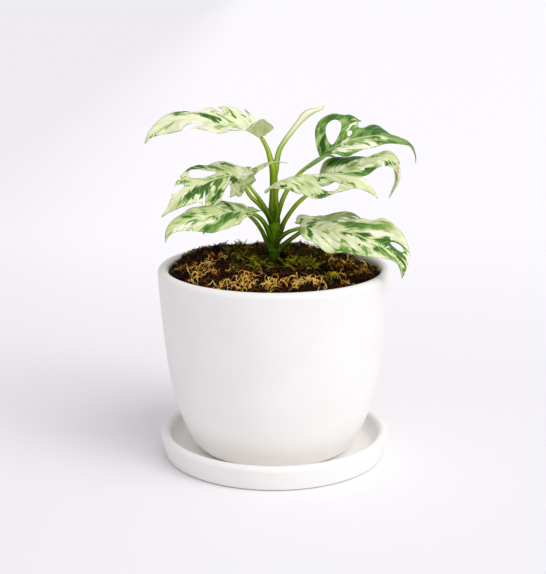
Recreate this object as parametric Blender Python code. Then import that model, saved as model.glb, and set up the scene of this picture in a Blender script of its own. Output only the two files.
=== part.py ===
"""Potted variegated monstera: a white ceramic pot on its saucer, potting soil, a moss top
dressing, and a young plant with ten open leaves and one rolled new leaf.

Units are metres, +Z is up and the origin is on the floor under the middle of the saucer.
The pot's axis is the Z axis, and the plant's widest spread runs along X.
"""

import math

import bmesh
import bpy
from mathutils import Vector, geometry, noise

MM = 0.001

# Pot and saucer
TURN_STEPS = 44
GAP = 0.3
POT_WALL = 7.2
POT_FLOOR = 7.0
POT_MOUTH_RADIUS = 72.8
DRAIN_RADIUS = 7.0
FOOT_RING_INSIDE = 39.5
FOOT_RING_BEVEL = 1.0
FOOT_RECESS = 1.6
LIP_CENTRE = (76.4, 130.3)
LIP_RADIUS = 3.65
SAUCER_FLOOR = 5.2
SAUCER_RIM_CENTRE = (76.7, 14.0)
SAUCER_RIM_RADIUS = 3.4
POT_FOOT = SAUCER_FLOOR + GAP

# Outer wall of the pot from the foot up, as (radius, height above the floor)
POT_OUTSIDE = (
    (44.0, POT_FOOT), (50.8, 5.9), (56.0, 9.5), (60.3, 16.5), (65.3, 28.5), (70.2, 44.0),
    (74.0, 64.0), (77.0, 90.0), (79.2, 116.0), (80.0, 129.5),
)

# The saucer's underside and the foot of its outer wall, and its well, as (radius, height)
SAUCER_UNDERSIDE = ((0.0, 0.0), (75.2, 0.0), (76.9, 1.0), (77.4, 3.0))
SAUCER_WELL = ((71.8, 7.6), (69.6, SAUCER_FLOOR), (0.0, SAUCER_FLOOR))

# Heights at which the pot's inner wall follows its outer wall, and its rounded corner inside
INNER_WALL_HEIGHTS = (128.5, 110.0, 85.0, 62.0, 44.0, 30.0, 20.0)
INNER_CORNER = ((48.0, POT_FOOT + POT_FLOOR + 1.0), (42.0, POT_FOOT + POT_FLOOR))

# Soil and moss
SOIL_TOP = 119.0
SOIL_HOLE_BOTTOM = 96.0
STEM_HOLE_RADIUS = 3.9
MOSS_CROWN = 138.2
MOSS_EDGE = 130.2
MOSS_SWELLS = ((-52.0, 42.0, 15.0, 3.6), (62.0, 27.0, 17.0, -3.2))
MOSS_RELIEF = 3.0
MOSS_LUMP = 8.5
MOSS_RINGS_GREEN = 6
MOSS_RINGS_BROWN = 7
MOSS_SECTORS = 54
GREEN_MOSS_REACH = 33.0

# Foliage
BLADE_THICKNESS = 0.75
RIB_DEPTH = 0.8
RIB_ROW = 1.9
BLADE_CELL = 5.8
EDGE_STEP = 3.8
STALK_SIDES = 8
STEM_SIDES = 14
VEIN_SWEEP = 0.62
FOLD_ARCH = 16.0
MARGIN_WAVE = 0.9
WAVES_PER_LEAF = 3.1

# One half of a blade's outline, from the notch at its stalk round the basal lobe to the tip,
# as (share of the midrib's length, share of the half width)
HALF_OUTLINE = (
    (0.0, 0.0), (-0.03, 0.13), (-0.09, 0.27), (-0.12, 0.5), (-0.08, 0.77), (0.03, 0.94),
    (0.18, 1.0), (0.34, 0.97), (0.5, 0.85), (0.66, 0.63), (0.8, 0.36), (0.9, 0.16), (0.97, 0.05),
)

# Main stem, as (height, radius), with its node rings
STEM_PROFILE = (
    (SOIL_HOLE_BOTTOM + GAP, 3.0), (128.0, 3.4), (143.0, 3.5), (144.4, 4.0), (146.0, 3.5), (155.0, 3.7),
    (159.0, 4.5), (161.5, 4.1), (168.0, 3.8), (171.5, 3.4),
)

# Each leaf: its stalk and midrib as points in millimetres, the greatest half widths to the
# left and right of the midrib, and the angle of each half above the level, in degrees, as
# (share of length, left, right). Windows are (side, share, reach, length, width, turn) and
# slits are (side, share, depth, mouth), with side 1 on the left and -1 on the right. Each
# half has its own basal lobe size, taper (over 1 is slimmer towards the tip) and sweep
# (how far its margin is shifted towards the tip, as a share of the half width).
LEAVES = {
    "top_left": {
        "stalk": ((-0.5, 0, 172.2), (-0.5, 0, 186), (-0.9, 0, 200), (-2.8, 0, 207.5),
                  (-4.8, -1, 214.5), (-8.8, -3.8, 222.6)),
        "stalk_radii": (3.2, 2.8, 2.6, 2.0, 1.6, 1.15),
        "rib": ((-9, -4, 222.9), (-18.3, -6, 228.4), (-27.5, -8, 230.7), (-39.3, -10, 232.6),
                (-51, -12, 235), (-62, -14, 236), (-72.5, -16, 231.7), (-81, -18, 226.4),
                (-85.4, -18, 220.4)),
        "half_widths": (19, 18),
        "angles": ((-0.1, 40, 8), (0.08, 40, 26), (0.18, -4, 40), (0.28, -4, 42),
                   (0.4, -12, 26), (0.55, -18, 12), (0.67, -32, 11), (0.84, -48, 24)),
        "windows": ((1, 0.49, 0.62, 18, 5.8, 10), (1, 0.15, 0.78, 9, 3.4, 8)),
        "slits": ((-1, 0.06, 0.4, 5), (-1, 0.25, 0.5, 4), (1, 0.05, 0.6, 5)),
        "lobe": (0.2, 0.4),
        "taper": (0.85, 0.8),
    },
    "top_right": {
        "stalk": ((0, 1.5, 160), (2.4, 4, 169), (7.2, 8, 182), (16.8, 12, 195.4),
                  (30.8, 13.9, 205.9)),
        "stalk_radii": (2.0, 1.8, 1.6, 1.4, 1.15),
        "rib": ((31.1, 14, 206.1), (37.3, 14.5, 210.8), (44.8, 15, 215.2), (53, 15.5, 218.2),
                (62.5, 16, 220.2), (72, 16, 220.9), (81.6, 16, 218.5), (88.5, 16, 216.4),
                (93.4, 16, 213.7), (96.4, 15, 208), (96.9, 14, 202)),
        "half_widths": (25, 16),
        "angles": ((-0.1, 42, 2), (0.04, 50, -4), (0.12, 56, -15), (0.24, 54, -26),
                   (0.34, 40, -28), (0.46, 16, -26), (0.7, -4, -18), (0.9, -8, -8)),
        "windows": ((1, 0.12, 0.42, 18, 8.5, 62), (1, 0.27, 0.22, 5, 3.2, 60)),
        "slits": ((1, 0.33, 0.4, 13), (-1, 0.02, 0.6, 4)),
        "lobe": (0.15, 1.7),
        "taper": (0.85, 1.0),
        "sweep": (0.5, 0.0),
    },
    "mid_right_front": {
        "stalk": ((1, -2, 165.5), (1.9, -5.2, 172.5), (1.2, -9, 180), (1.4, -12.3, 187),
                  (3.6, -15, 194.2)),
        "stalk_radii": (2.0, 1.7, 1.5, 1.3, 1.1),
        "rib": ((3.8, -15.2, 194.6), (9.6, -18, 197.2), (16.8, -21, 199.2), (26, -25, 200),
                (35, -30, 200.8), (44.4, -35, 202), (53.3, -39, 201), (59.8, -42, 196.9),
                (66.6, -45, 188.7)),
        "half_widths": (15, 18.5),
        "angles": ((-0.1, -4, -22), (0.03, -10, -12), (0.12, -12, -14), (0.28, -12, -34),
                   (0.45, -10, -44), (0.62, -10, -46), (0.82, -10, -38)),
        "windows": ((-1, 0.45, 0.52, 13.5, 7.5, 6),),
        "slits": ((1, 0.4, 0.45, 5),),
        "lobe": (0.8, 0.95),
        "taper": (1.0, 0.78),
    },
    "mid_right": {
        "stalk": ((0.5, 0, 152), (3.8, 1, 156.5), (7.2, 2, 165), (14.7, 3, 175.5),
                  (22.2, 4, 182.2), (31.9, 4.3, 191)),
        "stalk_radii": (2.0, 1.9, 1.6, 1.5, 1.3, 1.1),
        "rib": ((32.2, 4.3, 191.3), (40.5, 3, 196.5), (51.5, 1.5, 201), (60.5, 0, 205.5),
                (70, -2, 208.5), (76, -3.5, 207.8), (80, -5, 203), (81.4, -7, 195),
                (79.3, -8, 188), (77, -8, 182)),
        "half_widths": (16, 14),
        "angles": ((-0.1, 0, 0), (0.12, 48, -18), (0.3, 20, -24), (0.45, 2, -42),
                   (0.6, 10, -30), (0.8, 10, 10)),
        "windows": ((1, 0.66, 0.5, 5, 2.6, 30),),
        "slits": ((-1, 0.56, 0.3, 6), (1, 0.45, 0.6, 3)),
        "lobe": (0.3, 0.8),
        "taper": (1.0, 1.0),
    },
    "low_right_front": {
        "stalk": ((0.9, -2, 148), (1.9, -4.8, 151.6), (4.6, -9, 155.8), (9.7, -13.8, 160.4),
                  (17.4, -18, 163.8)),
        "stalk_radii": (2.0, 1.9, 1.7, 1.4, 1.1),
        "rib": ((17.8, -18.2, 163.9), (27, -22, 164.1), (40, -27, 164.3), (51, -32, 163.3),
                (60, -36, 160.1), (69, -39, 156.1), (76.8, -41, 150.9), (81.6, -43, 145),
                (83.5, -44, 135.4)),
        "half_widths": (21, 20),
        "angles": ((-0.1, 18, 0), (0.06, 10, -6), (0.15, 8, -16), (0.32, 13, -35),
                   (0.47, 22, -36), (0.6, 38, -31), (0.75, 52, -26), (0.9, 30, -10)),
        "windows": ((1, 0.73, 0.3, 9, 3.6, 10),),
        "slits": ((-1, 0.62, 0.55, 4), (1, 0.12, 0.7, 3.5)),
        "lobe": (0.7, 0.05),
        "taper": (0.52, 1.0),
        "sweep": (0.0, 0.38),
    },
    "low_right_back": {
        "stalk": ((0.8, 1.5, 139.8), (3.8, 7.5, 144.4), (10, 13.5, 148.5), (18, 20, 153),
                  (25.9, 26.8, 157.5)),
        "stalk_radii": (1.9, 1.8, 1.6, 1.4, 1.1),
        "rib": ((26.2, 27.1, 157.7), (34, 34, 160.4), (42.5, 42, 160.6), (50, 50, 158.2),
                (56, 58, 153), (59.5, 64, 146.5), (60.5, 67, 140)),
        "half_widths": (17, 17),
        "angles": ((-0.1, 0, 16), (0.1, -12, 16), (0.4, -20, 12), (0.7, -24, -4), (0.9, -10, -10)),
        "windows": ((1, 0.35, 0.5, 8, 3.0, 60), (-1, 0.5, 0.5, 8, 3.0, 60)),
        "slits": ((1, 0.5, 0.5, 4), (-1, 0.25, 0.55, 4)),
        "lobe": (0.9, 0.9),
        "taper": (1.0, 1.0),
    },
    "mid_left": {
        "stalk": ((-1, 1, 161), (-4.5, 1.5, 169), (-10, 2, 175.5), (-16.5, 2, 182),
                  (-20.4, 1.6, 189.5), (-21.3, 1.1, 196)),
        "stalk_radii": (2.0, 1.8, 1.5, 1.4, 1.25, 1.1),
        "rib": ((-21.9, 1, 196.3), (-28.6, -1, 196.6), (-35.3, -3, 195.6), (-43.3, -5, 193.6),
                (-51.2, -8, 191.8), (-57.1, -11, 190), (-61.6, -14, 186.4), (-65.8, -17, 180.4),
                (-75, -20, 171.6)),
        "half_widths": (18, 19),
        "angles": ((-0.1, -6, 10), (0.08, -30, 18), (0.28, -48, 26), (0.42, -54, 42),
                   (0.57, -58, 68), (0.7, -52, 72), (0.82, -26, 60)),
        "windows": ((-1, 0.33, 0.36, 19, 7, 8), (-1, 0.63, 0.24, 9, 4.2, 20)),
        "slits": ((1, 0.1, 0.45, 7), (1, 0.38, 0.35, 3), (1, 0.55, 0.4, 3), (-1, 0.53, 0.4, 8)),
        "lobe": (0.5, 0.9),
        "taper": (0.85, 1.55),
        "sweep": (0.0, -0.3),
    },
    "small_front": {
        "stalk": ((-1.8, -2.2, 165), (-4.6, -7, 172.5), (-8.6, -12, 180), (-13.3, -17, 187.5),
                  (-17.6, -19.8, 193.6)),
        "stalk_radii": (1.9, 1.6, 1.4, 1.2, 1.0),
        "rib": ((-18, -20, 194.2), (-18, -23, 199), (-15.2, -26.5, 204.2), (-10.7, -30, 207.9),
                (-4.2, -33.5, 210.6), (2.3, -36.5, 211.7), (8.6, -39, 211)),
        "half_widths": (5.5, 12),
        "angles": ((-0.1, -20, 12), (0.1, -40, 4), (0.3, -55, -34), (0.5, -60, -56),
                   (0.9, -60, -60)),
        "windows": (),
        "slits": ((-1, 0.04, 0.5, 4),),
        "lobe": (0.8, 1.7),
        "taper": (2.2, 2.3),
    },
    "low_left_front": {
        "stalk": ((-1.8, -1.6, 151.5), (-4.2, -3.8, 158.5), (-7.2, -7.3, 165.4), (-11.8, -11.5, 170.9),
                  (-17.9, -15.2, 174.3)),
        "stalk_radii": (2.0, 1.8, 1.6, 1.4, 1.1),
        "rib": ((-18.3, -15.4, 174.3), (-27, -18, 175), (-36, -21.5, 174.2), (-46, -25.5, 173),
                (-55.5, -29.5, 171.5), (-64, -33.5, 168.5), (-69.5, -36, 164), (-71.6, -37, 158)),
        "half_widths": (18, 17),
        "angles": ((-0.1, 2, 10), (0.1, -4, 12), (0.2, -14, 14), (0.35, -28, 16), (0.5, -32, 14),
                   (0.65, -36, 10), (0.85, -30, 14)),
        "windows": ((-1, 0.14, 0.28, 8, 3, 24),),
        "slits": ((1, 0.6, 0.45, 4), (-1, 0.5, 0.6, 3)),
        "lobe": (0.12, 0.1),
        "taper": (1.0, 1.0),
    },
    "low_left_back": {
        "stalk": ((-1, 1.5, 142), (-4.5, 4.5, 148), (-8.5, 8.5, 156), (-13.5, 13, 162.5),
                  (-19.6, 18.7, 166.7)),
        "stalk_radii": (1.9, 1.8, 1.5, 1.4, 1.1),
        "rib": ((-19.9, 19, 166.8), (-27, 25.5, 168.5), (-34.5, 32.5, 167.5), (-41.5, 40, 164),
                (-47, 47, 158.5), (-50.5, 53, 151), (-51.5, 56, 144)),
        "half_widths": (16, 17),
        "angles": ((-0.1, 10, 2), (0.1, 6, -8), (0.4, 2, -18), (0.7, -12, -20), (0.9, -10, -10)),
        "windows": ((-1, 0.3, 0.5, 8, 3.0, 60), (1, 0.45, 0.5, 8, 3.0, 60)),
        "slits": ((-1, 0.5, 0.5, 4), (1, 0.3, 0.5, 4)),
        "lobe": (0.6, 0.6),
        "taper": (1.0, 1.0),
    },
}

# Rolled new leaf, as points with the radius of its roll
NEW_LEAF = (
    (0.9, 0.9, 199.5, 1.9), (1.7, 1, 207.5, 1.9), (3.4, 1.6, 214, 1.75), (7.4, 2, 220.5, 1.7),
    (12, 3, 226.5, 1.8), (16, 3.4, 231.5, 2.0), (20.3, 4, 236.5, 2.6), (24.6, 4, 239, 2.1),
    (29, 4, 240.2, 1.2), (32, 4, 241.3, 0.8), (33.4, 4, 243, 0.45),
)


def smooth_curve(points, steps):
    """Points on a Catmull-Rom curve through the given points, ends included."""
    curve = []
    last = len(points) - 1
    for index in range(last):
        before = points[max(index - 1, 0)]
        start = points[index]
        end = points[index + 1]
        after = points[min(index + 2, last)]
        for step in range(steps):
            t = step / steps
            curve.append(0.5 * (
                2.0 * start + (end - before) * t
                + (2.0 * before - 5.0 * start + 4.0 * end - after) * t ** 2
                + (3.0 * start - before - 3.0 * end + after) * t ** 3))
    curve.append(points[last].copy())
    return curve


def blend_level(stations, share):
    """A value read smoothly between stations, each (share, value)."""
    if share <= stations[0][0]:
        return stations[0][1]
    for (start, low), (end, high) in zip(stations, stations[1:]):
        if share <= end:
            t = (share - start) / (end - start)
            return low + (high - low) * t * t * (3.0 - 2.0 * t)
    return stations[-1][1]


def resample(curve, spacing):
    """Points at an even spacing along a curve, ends included."""
    total = sum((b - a).length for a, b in zip(curve, curve[1:]))
    count = max(2, round(total / spacing))
    even = [curve[0].copy()]
    walked = 0.0
    target = total / count
    for a, b in zip(curve, curve[1:]):
        length = (b - a).length
        while walked + length >= target * len(even) and len(even) < count:
            even.append(a.lerp(b, (target * len(even) - walked) / length))
        walked += length
    even.append(curve[-1].copy())
    return even


def inside(polygon, x, y):
    """True where the point lies within the closed outline."""
    hit = False
    for a, b in zip(polygon, polygon[1:] + polygon[:1]):
        if (a[1] > y) != (b[1] > y) and x < (b[0] - a[0]) * (y - a[1]) / (b[1] - a[1]) + a[0]:
            hit = not hit
    return hit


def outline_distance(polygon, x, y):
    """The shortest distance from the point to the closed outline."""
    point = Vector((x, y, 0.0))
    nearest = math.inf
    for a, b in zip(polygon, polygon[1:] + polygon[:1]):
        start = Vector((a[0], a[1], 0.0))
        run = Vector((b[0], b[1], 0.0)) - start
        t = min(1.0, max(0.0, (point - start).dot(run) / max(run.length_squared, 1e-9)))
        nearest = min(nearest, (point - start - run * t).length)
    return nearest


class Midrib:
    """A smooth curve read by its share of length, carried on straight behind its base."""

    def __init__(self, points):
        self.points = smooth_curve([Vector(point) for point in points], 8)
        self.reach = [0.0]
        for a, b in zip(self.points, self.points[1:]):
            self.reach.append(self.reach[-1] + (b - a).length)
        self.length = self.reach[-1]
        heading = self.points[-1] - self.points[0]
        self.across = Vector((-heading.y, heading.x, 0.0)).normalized()

    def at(self, share):
        """The point at this share of the length."""
        walk = share * self.length
        index = 0
        while index < len(self.points) - 2 and self.reach[index + 1] < walk:
            index += 1
        run = self.points[index + 1] - self.points[index]
        return self.points[index] + run * ((walk - self.reach[index]) / run.length)

    def frame(self, share):
        """The point, the way to the left and the way up out of the blade."""
        low = max(0.0, share - 0.04)
        high = min(1.0, max(share, 0.0) + 0.04)
        along = (self.at(high) - self.at(low)).normalized()
        left = (self.across - along * self.across.dot(along)).normalized()
        return self.at(share), left, along.cross(left)


def half_outline(leaf, length, side):
    """One side of the flat blade, from the notch to the tip, in millimetres."""
    half = 0 if side > 0 else 1
    width = leaf["half_widths"][half]
    lobe = leaf["lobe"][half]
    taper = leaf["taper"][half]
    sweep = leaf.get("sweep", (0.0, 0.0))[half]
    points = []
    for share, reach in HALF_OUTLINE:
        along = share * lobe if share < 0.0 else share ** taper
        swept = along * length + sweep * reach * width * (1.0 - max(0.0, share))
        points.append(Vector((swept, side * reach * width, 0.0)))
    points.append(Vector((length, side * 0.35, 0.0)))
    return resample(smooth_curve(points, 6), EDGE_STEP)


def vein_line(leaf, length, side, share, reach):
    """A point of the flat blade on the side vein that leaves the midrib at this share."""
    width = leaf["half_widths"][0 if side > 0 else 1]
    return share * length + reach * width * VEIN_SWEEP, side * reach * width


def slit_outline(leaf, length, slit):
    """A slit that opens through the margin along a side vein."""
    side, share, depth, mouth = slit
    near_edge = []
    far_edge = []
    for step in range(7):
        reach = depth + (1.25 - depth) * (step / 6) ** 1.4
        opening = 0.5 * mouth * min(1.0, (reach - depth) / (1.0 - depth)) ** 0.55
        x, y = vein_line(leaf, length, side, share, reach)
        near_edge.append((x - opening, y))
        far_edge.append((x + opening, y))
    return near_edge + far_edge[:0:-1]


def window_outline(leaf, length, window):
    """An oval hole inside one half of the blade."""
    side, share, reach, long_size, wide_size, turn = window
    x, y = vein_line(leaf, length, side, share, reach)
    turn = math.radians(turn) * side
    outline = []
    for step in range(12):
        angle = 2.0 * math.pi * step / 12
        a = 0.5 * long_size * math.cos(angle)
        b = 0.5 * wide_size * math.sin(angle) * (1.0 + 0.25 * math.cos(angle))
        outline.append((x + a * math.cos(turn) - b * math.sin(turn),
                        y + a * math.sin(turn) + b * math.cos(turn)))
    return outline


def flat_blade(leaf, length):
    """Triangles of the flat blade, with its windows and slits left out."""
    right = half_outline(leaf, length, -1)
    left = half_outline(leaf, length, 1)
    rim = [(point.x, point.y) for point in right + left[:0:-1]]
    cuts = [slit_outline(leaf, length, slit) for slit in leaf["slits"]]
    cuts += [window_outline(leaf, length, window) for window in leaf["windows"]]

    points = []
    edges = []
    for outline in [rim] + cuts:
        first = len(points)
        points += [Vector(point) for point in outline]
        edges += [(first + i, first + (i + 1) % len(outline)) for i in range(len(outline))]
    columns = round(length / BLADE_CELL)
    first = len(points)
    points += [Vector((length * (0.5 + i) / columns, 0.0)) for i in range(columns - 1)]
    edges += [(i, i + 1) for i in range(first, len(points) - 1)]

    width = max(leaf["half_widths"])
    rows = [RIB_ROW + BLADE_CELL * 0.9 * i for i in range(int(width / BLADE_CELL) + 2)]
    for number, row in enumerate(rows):
        for side in (1, -1):
            for i in range(-4, columns + 1):
                x = length * (i + 0.5 * (number % 2)) / columns
                clear = 0.3 * BLADE_CELL if number == 0 else 0.42 * BLADE_CELL
                if not inside(rim, x, side * row):
                    continue
                if any(inside(cut, x, side * row) for cut in cuts):
                    continue
                if min(outline_distance(cut, x, side * row) for cut in [rim] + cuts) > clear:
                    points.append(Vector((x, side * row)))

    places, _, faces, _, _, _ = geometry.delaunay_2d_cdt(points, edges, [], 0, 1e-4)
    kept = []
    for face in faces:
        x = sum(places[i].x for i in face) / 3.0
        y = sum(places[i].y for i in face) / 3.0
        if inside(rim, x, y) and not any(inside(cut, x, y) for cut in cuts):
            kept.append(list(face))
    return places, kept


def blade_point(leaf, rib, x, y):
    """A point of the flat blade, carried to where the bent and folded blade holds it."""
    share = x / rib.length
    place, left, up = rib.frame(share)
    side = 0 if y >= 0.0 else 1
    width = leaf["half_widths"][side]
    angle = blend_level([(row[0], row[1 + side]) for row in leaf["angles"]], share)
    reach = abs(y) / width
    lean = math.radians(angle + FOLD_ARCH * (1.0 - reach))
    outward = left if side == 0 else -left
    phase = 2.0 * math.pi * (WAVES_PER_LEAF * share + 0.37 * side) + rib.length
    wave = MARGIN_WAVE * reach ** 2 * math.sin(phase)
    return place + outward * (abs(y) * math.cos(lean)) + up * (abs(y) * math.sin(lean) + wave)


def largest_body(bm):
    """Drops every loose scrap but the largest body of linked faces."""
    left = set(bm.faces)
    bodies = []
    while left:
        stack = [left.pop()]
        body = set(stack)
        while stack:
            for edge in stack.pop().edges:
                for face in edge.link_faces:
                    if face in left:
                        left.remove(face)
                        body.add(face)
                        stack.append(face)
        bodies.append(body)
    bodies.sort(key=len)
    for body in bodies[:-1]:
        bmesh.ops.delete(bm, geom=list(body), context="FACES")
    loose = [vert for vert in bm.verts if not vert.link_faces]
    bmesh.ops.delete(bm, geom=loose, context="VERTS")


def blade_mesh(leaf):
    """The blade as a closed solid: one sheet of triangles repeated above and below it."""
    rib = Midrib(leaf["rib"])
    places, faces = flat_blade(leaf, rib.length)
    bm = bmesh.new()
    flat = bm.verts.layers.float_vector.new("flat")
    for place in places:
        vert = bm.verts.new(blade_point(leaf, rib, place.x, place.y))
        vert[flat] = Vector((place.x, place.y, 0.0))
    bm.verts.ensure_lookup_table()
    for face in faces:
        bm.faces.new([bm.verts[i] for i in face])
    largest_body(bm)
    bmesh.ops.recalc_face_normals(bm, faces=bm.faces[:])
    bm.normal_update()
    up = sum((face.normal * face.calc_area() for face in bm.faces), Vector())
    if up.z < 0.0:
        bmesh.ops.reverse_faces(bm, faces=bm.faces[:])
        bm.normal_update()

    top_faces = bm.faces[:]
    rim_edges = [edge for edge in bm.edges if len(edge.link_faces) == 1]
    tops = bm.verts[:]
    normals = {vert: vert.normal.copy() for vert in tops}
    below = {}
    for vert in tops:
        x, y = vert[flat].x, vert[flat].y
        keel = RIB_DEPTH * max(0.0, 1.0 - abs(y) / RIB_ROW) * max(0.0, 1.0 - x / rib.length)
        depth = 0.5 * BLADE_THICKNESS + (keel if x > 0.5 else 0.0)
        below[vert] = bm.verts.new(vert.co - normals[vert] * depth)
    for vert in tops:
        vert.co += normals[vert] * (0.5 * BLADE_THICKNESS)
    for face in top_faces:
        bm.faces.new([below[vert] for vert in reversed(face.verts)])
    for edge in rim_edges:
        loop = edge.link_loops[0]
        a, b = loop.vert, loop.link_loop_next.vert
        bm.faces.new((b, a, below[a]))
        bm.faces.new((b, below[a], below[b]))
    return bm


def tube_mesh(points, radii, sides, steps, section=None):
    """A closed round tube through the points, its radius read between the given ones."""
    path = smooth_curve([Vector(point) for point in points], steps)
    widths = smooth_curve([Vector((radius, 0.0, 0.0)) for radius in radii], steps)
    bm = bmesh.new()
    rings = []
    across = Vector((0.0, 1.0, 0.0))
    for index, place in enumerate(path):
        along = path[min(index + 1, len(path) - 1)] - path[max(index - 1, 0)]
        along.normalize()
        across = (across - along * across.dot(along)).normalized()
        other = along.cross(across)
        ring = []
        for step in range(sides):
            angle = 2.0 * math.pi * step / sides
            radius = widths[index].x * (section(step / sides) if section else 1.0)
            ring.append(bm.verts.new(
                place + across * (radius * math.cos(angle)) + other * (radius * math.sin(angle))))
        rings.append(ring)
    for low, high in zip(rings, rings[1:]):
        for i in range(sides):
            j = (i + 1) % sides
            bm.faces.new((low[i], low[j], high[j], high[i]))
    bm.faces.new(rings[0][::-1])
    bm.faces.new(rings[-1])
    return bm


def turned_mesh(profile, steps=TURN_STEPS):
    """A closed body turned about the Z axis from a closed (radius, height) outline."""
    bm = bmesh.new()
    rings = []
    for radius, height in profile:
        if radius < 0.01:
            rings.append([bm.verts.new((0.0, 0.0, height))] * steps)
            continue
        rings.append([bm.verts.new((radius * math.cos(2.0 * math.pi * i / steps),
                                    radius * math.sin(2.0 * math.pi * i / steps), height))
                      for i in range(steps)])
    for low, high in zip(rings, rings[1:] + rings[:1]):
        for i in range(steps):
            j = (i + 1) % steps
            corners = []
            for vert in (low[i], low[j], high[j], high[i]):
                if vert not in corners:
                    corners.append(vert)
            if len(corners) > 2:
                bm.faces.new(corners)
    bmesh.ops.recalc_face_normals(bm, faces=bm.faces[:])
    return bm


def arc(centre, radius, start, end, steps):
    """Points of an arc in the (radius, height) plane, angles in degrees."""
    points = []
    for step in range(steps + 1):
        angle = math.radians(start + (end - start) * step / steps)
        points.append((centre[0] + radius * math.cos(angle), centre[1] + radius * math.sin(angle)))
    return points


def pot_outer_radius(height):
    """The radius of the pot's outer wall at this height."""
    wall = [(z, r) for r, z in POT_OUTSIDE]
    for (z0, r0), (z1, r1) in zip(wall, wall[1:]):
        if height <= z1:
            return r0 + (r1 - r0) * (height - z0) / (z1 - z0)
    return wall[-1][1]


def pot_inner_wall():
    """The pot's inner wall from the mouth down to the floor."""
    wall = [(pot_outer_radius(height) - POT_WALL, height) for height in INNER_WALL_HEIGHTS]
    return wall + list(INNER_CORNER)


def material(name, colour, roughness):
    """A plain surface of one colour."""
    surface = bpy.data.materials.new(name)
    surface.use_nodes = True
    shader = surface.node_tree.nodes["Principled BSDF"]
    shader.inputs["Base Color"].default_value = (*colour, 1.0)
    shader.inputs["Roughness"].default_value = roughness
    shader.inputs["Metallic"].default_value = 0.0
    return surface


def add_part(name, bm, surface, smooth_angle=40.0):
    """Places a mesh drawn in millimetres as one object in metres."""
    mesh = bpy.data.meshes.new(name)
    bmesh.ops.scale(bm, vec=(MM, MM, MM), verts=bm.verts[:])
    bmesh.ops.triangulate(bm, faces=[face for face in bm.faces if len(face.verts) > 4])
    bm.to_mesh(mesh)
    bm.free()
    mesh.shade_smooth()
    mesh.set_sharp_from_angle(angle=math.radians(smooth_angle))
    mesh.materials.append(surface)
    part = bpy.data.objects.new(name, mesh)
    bpy.context.scene.collection.objects.link(part)
    return part


def add_cutter(name, bm, surface):
    """A helper body that only cuts its neighbours."""
    cutter = add_part(name, bm, surface)
    cutter.hide_render = True
    cutter.display_type = "WIRE"
    return cutter


def cut_by(part, cutter):
    """Takes the cutter's shape out of the part."""
    cut = part.modifiers.new("clear_of_" + cutter.name, "BOOLEAN")
    cut.operation = "DIFFERENCE"
    cut.solver = "EXACT"
    cut.object = cutter


def add_saucer(surface):
    """A shallow dish with a rounded rim and a flat underside."""
    profile = list(SAUCER_UNDERSIDE)
    profile += arc(SAUCER_RIM_CENTRE, SAUCER_RIM_RADIUS, 0.0, 180.0, 6)
    profile += list(SAUCER_WELL)
    return add_part("saucer", turned_mesh(profile), surface)


def add_pot(surface):
    """The pot: bowl-like below, nearly straight above, with a rounded lip and a drain hole."""
    recess = POT_FOOT + FOOT_RECESS
    profile = [(DRAIN_RADIUS, recess), (FOOT_RING_INSIDE - FOOT_RING_BEVEL, recess)]
    profile += [(FOOT_RING_INSIDE, POT_FOOT)] + list(POT_OUTSIDE)
    profile += arc(LIP_CENTRE, LIP_RADIUS, 8.0, 172.0, 6)
    profile += pot_inner_wall() + [(DRAIN_RADIUS, POT_FOOT + POT_FLOOR)]
    return add_part("pot", turned_mesh(profile), surface)


def add_soil(surface):
    """Soil that fills the pot up to the moss, with a plain hole for the stem."""
    wall = [(radius - GAP, height + GAP) for radius, height in pot_inner_wall() if height < SOIL_TOP]
    profile = [(0.0, SOIL_HOLE_BOTTOM), (STEM_HOLE_RADIUS, SOIL_HOLE_BOTTOM)]
    profile += [(STEM_HOLE_RADIUS, SOIL_TOP)]
    profile += [(pot_outer_radius(SOIL_TOP) - POT_WALL - GAP, SOIL_TOP)]
    profile += wall + [(0.0, wall[-1][1])]
    return add_part("soil", turned_mesh(profile), surface)


def moss_height(x, y):
    """The height of the moss: a low mound with a few broad swells, and lumps by noise."""
    spread = min(1.0, math.hypot(x, y) / POT_MOUTH_RADIUS)
    mound = MOSS_EDGE + (MOSS_CROWN - MOSS_EDGE) * (1.0 - spread ** 3)
    for swell_x, swell_y, size, rise in MOSS_SWELLS:
        mound += rise * math.exp(-0.5 * (math.hypot(x - swell_x, y - swell_y) / size) ** 2)
    place = Vector((x / MOSS_LUMP, y / MOSS_LUMP, 3.7))
    lumps = noise.noise(place) + 0.5 * noise.noise(place * 2.1)
    return mound + MOSS_RELIEF * lumps


def green_reach(angle):
    """The wandering edge between the green moss and the brown."""
    wander = 7.0 * math.sin(angle) + 3.0 * math.sin(3.0 * angle + 0.8) + 2.0 * math.cos(5.0 * angle)
    return GREEN_MOSS_REACH + wander


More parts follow.
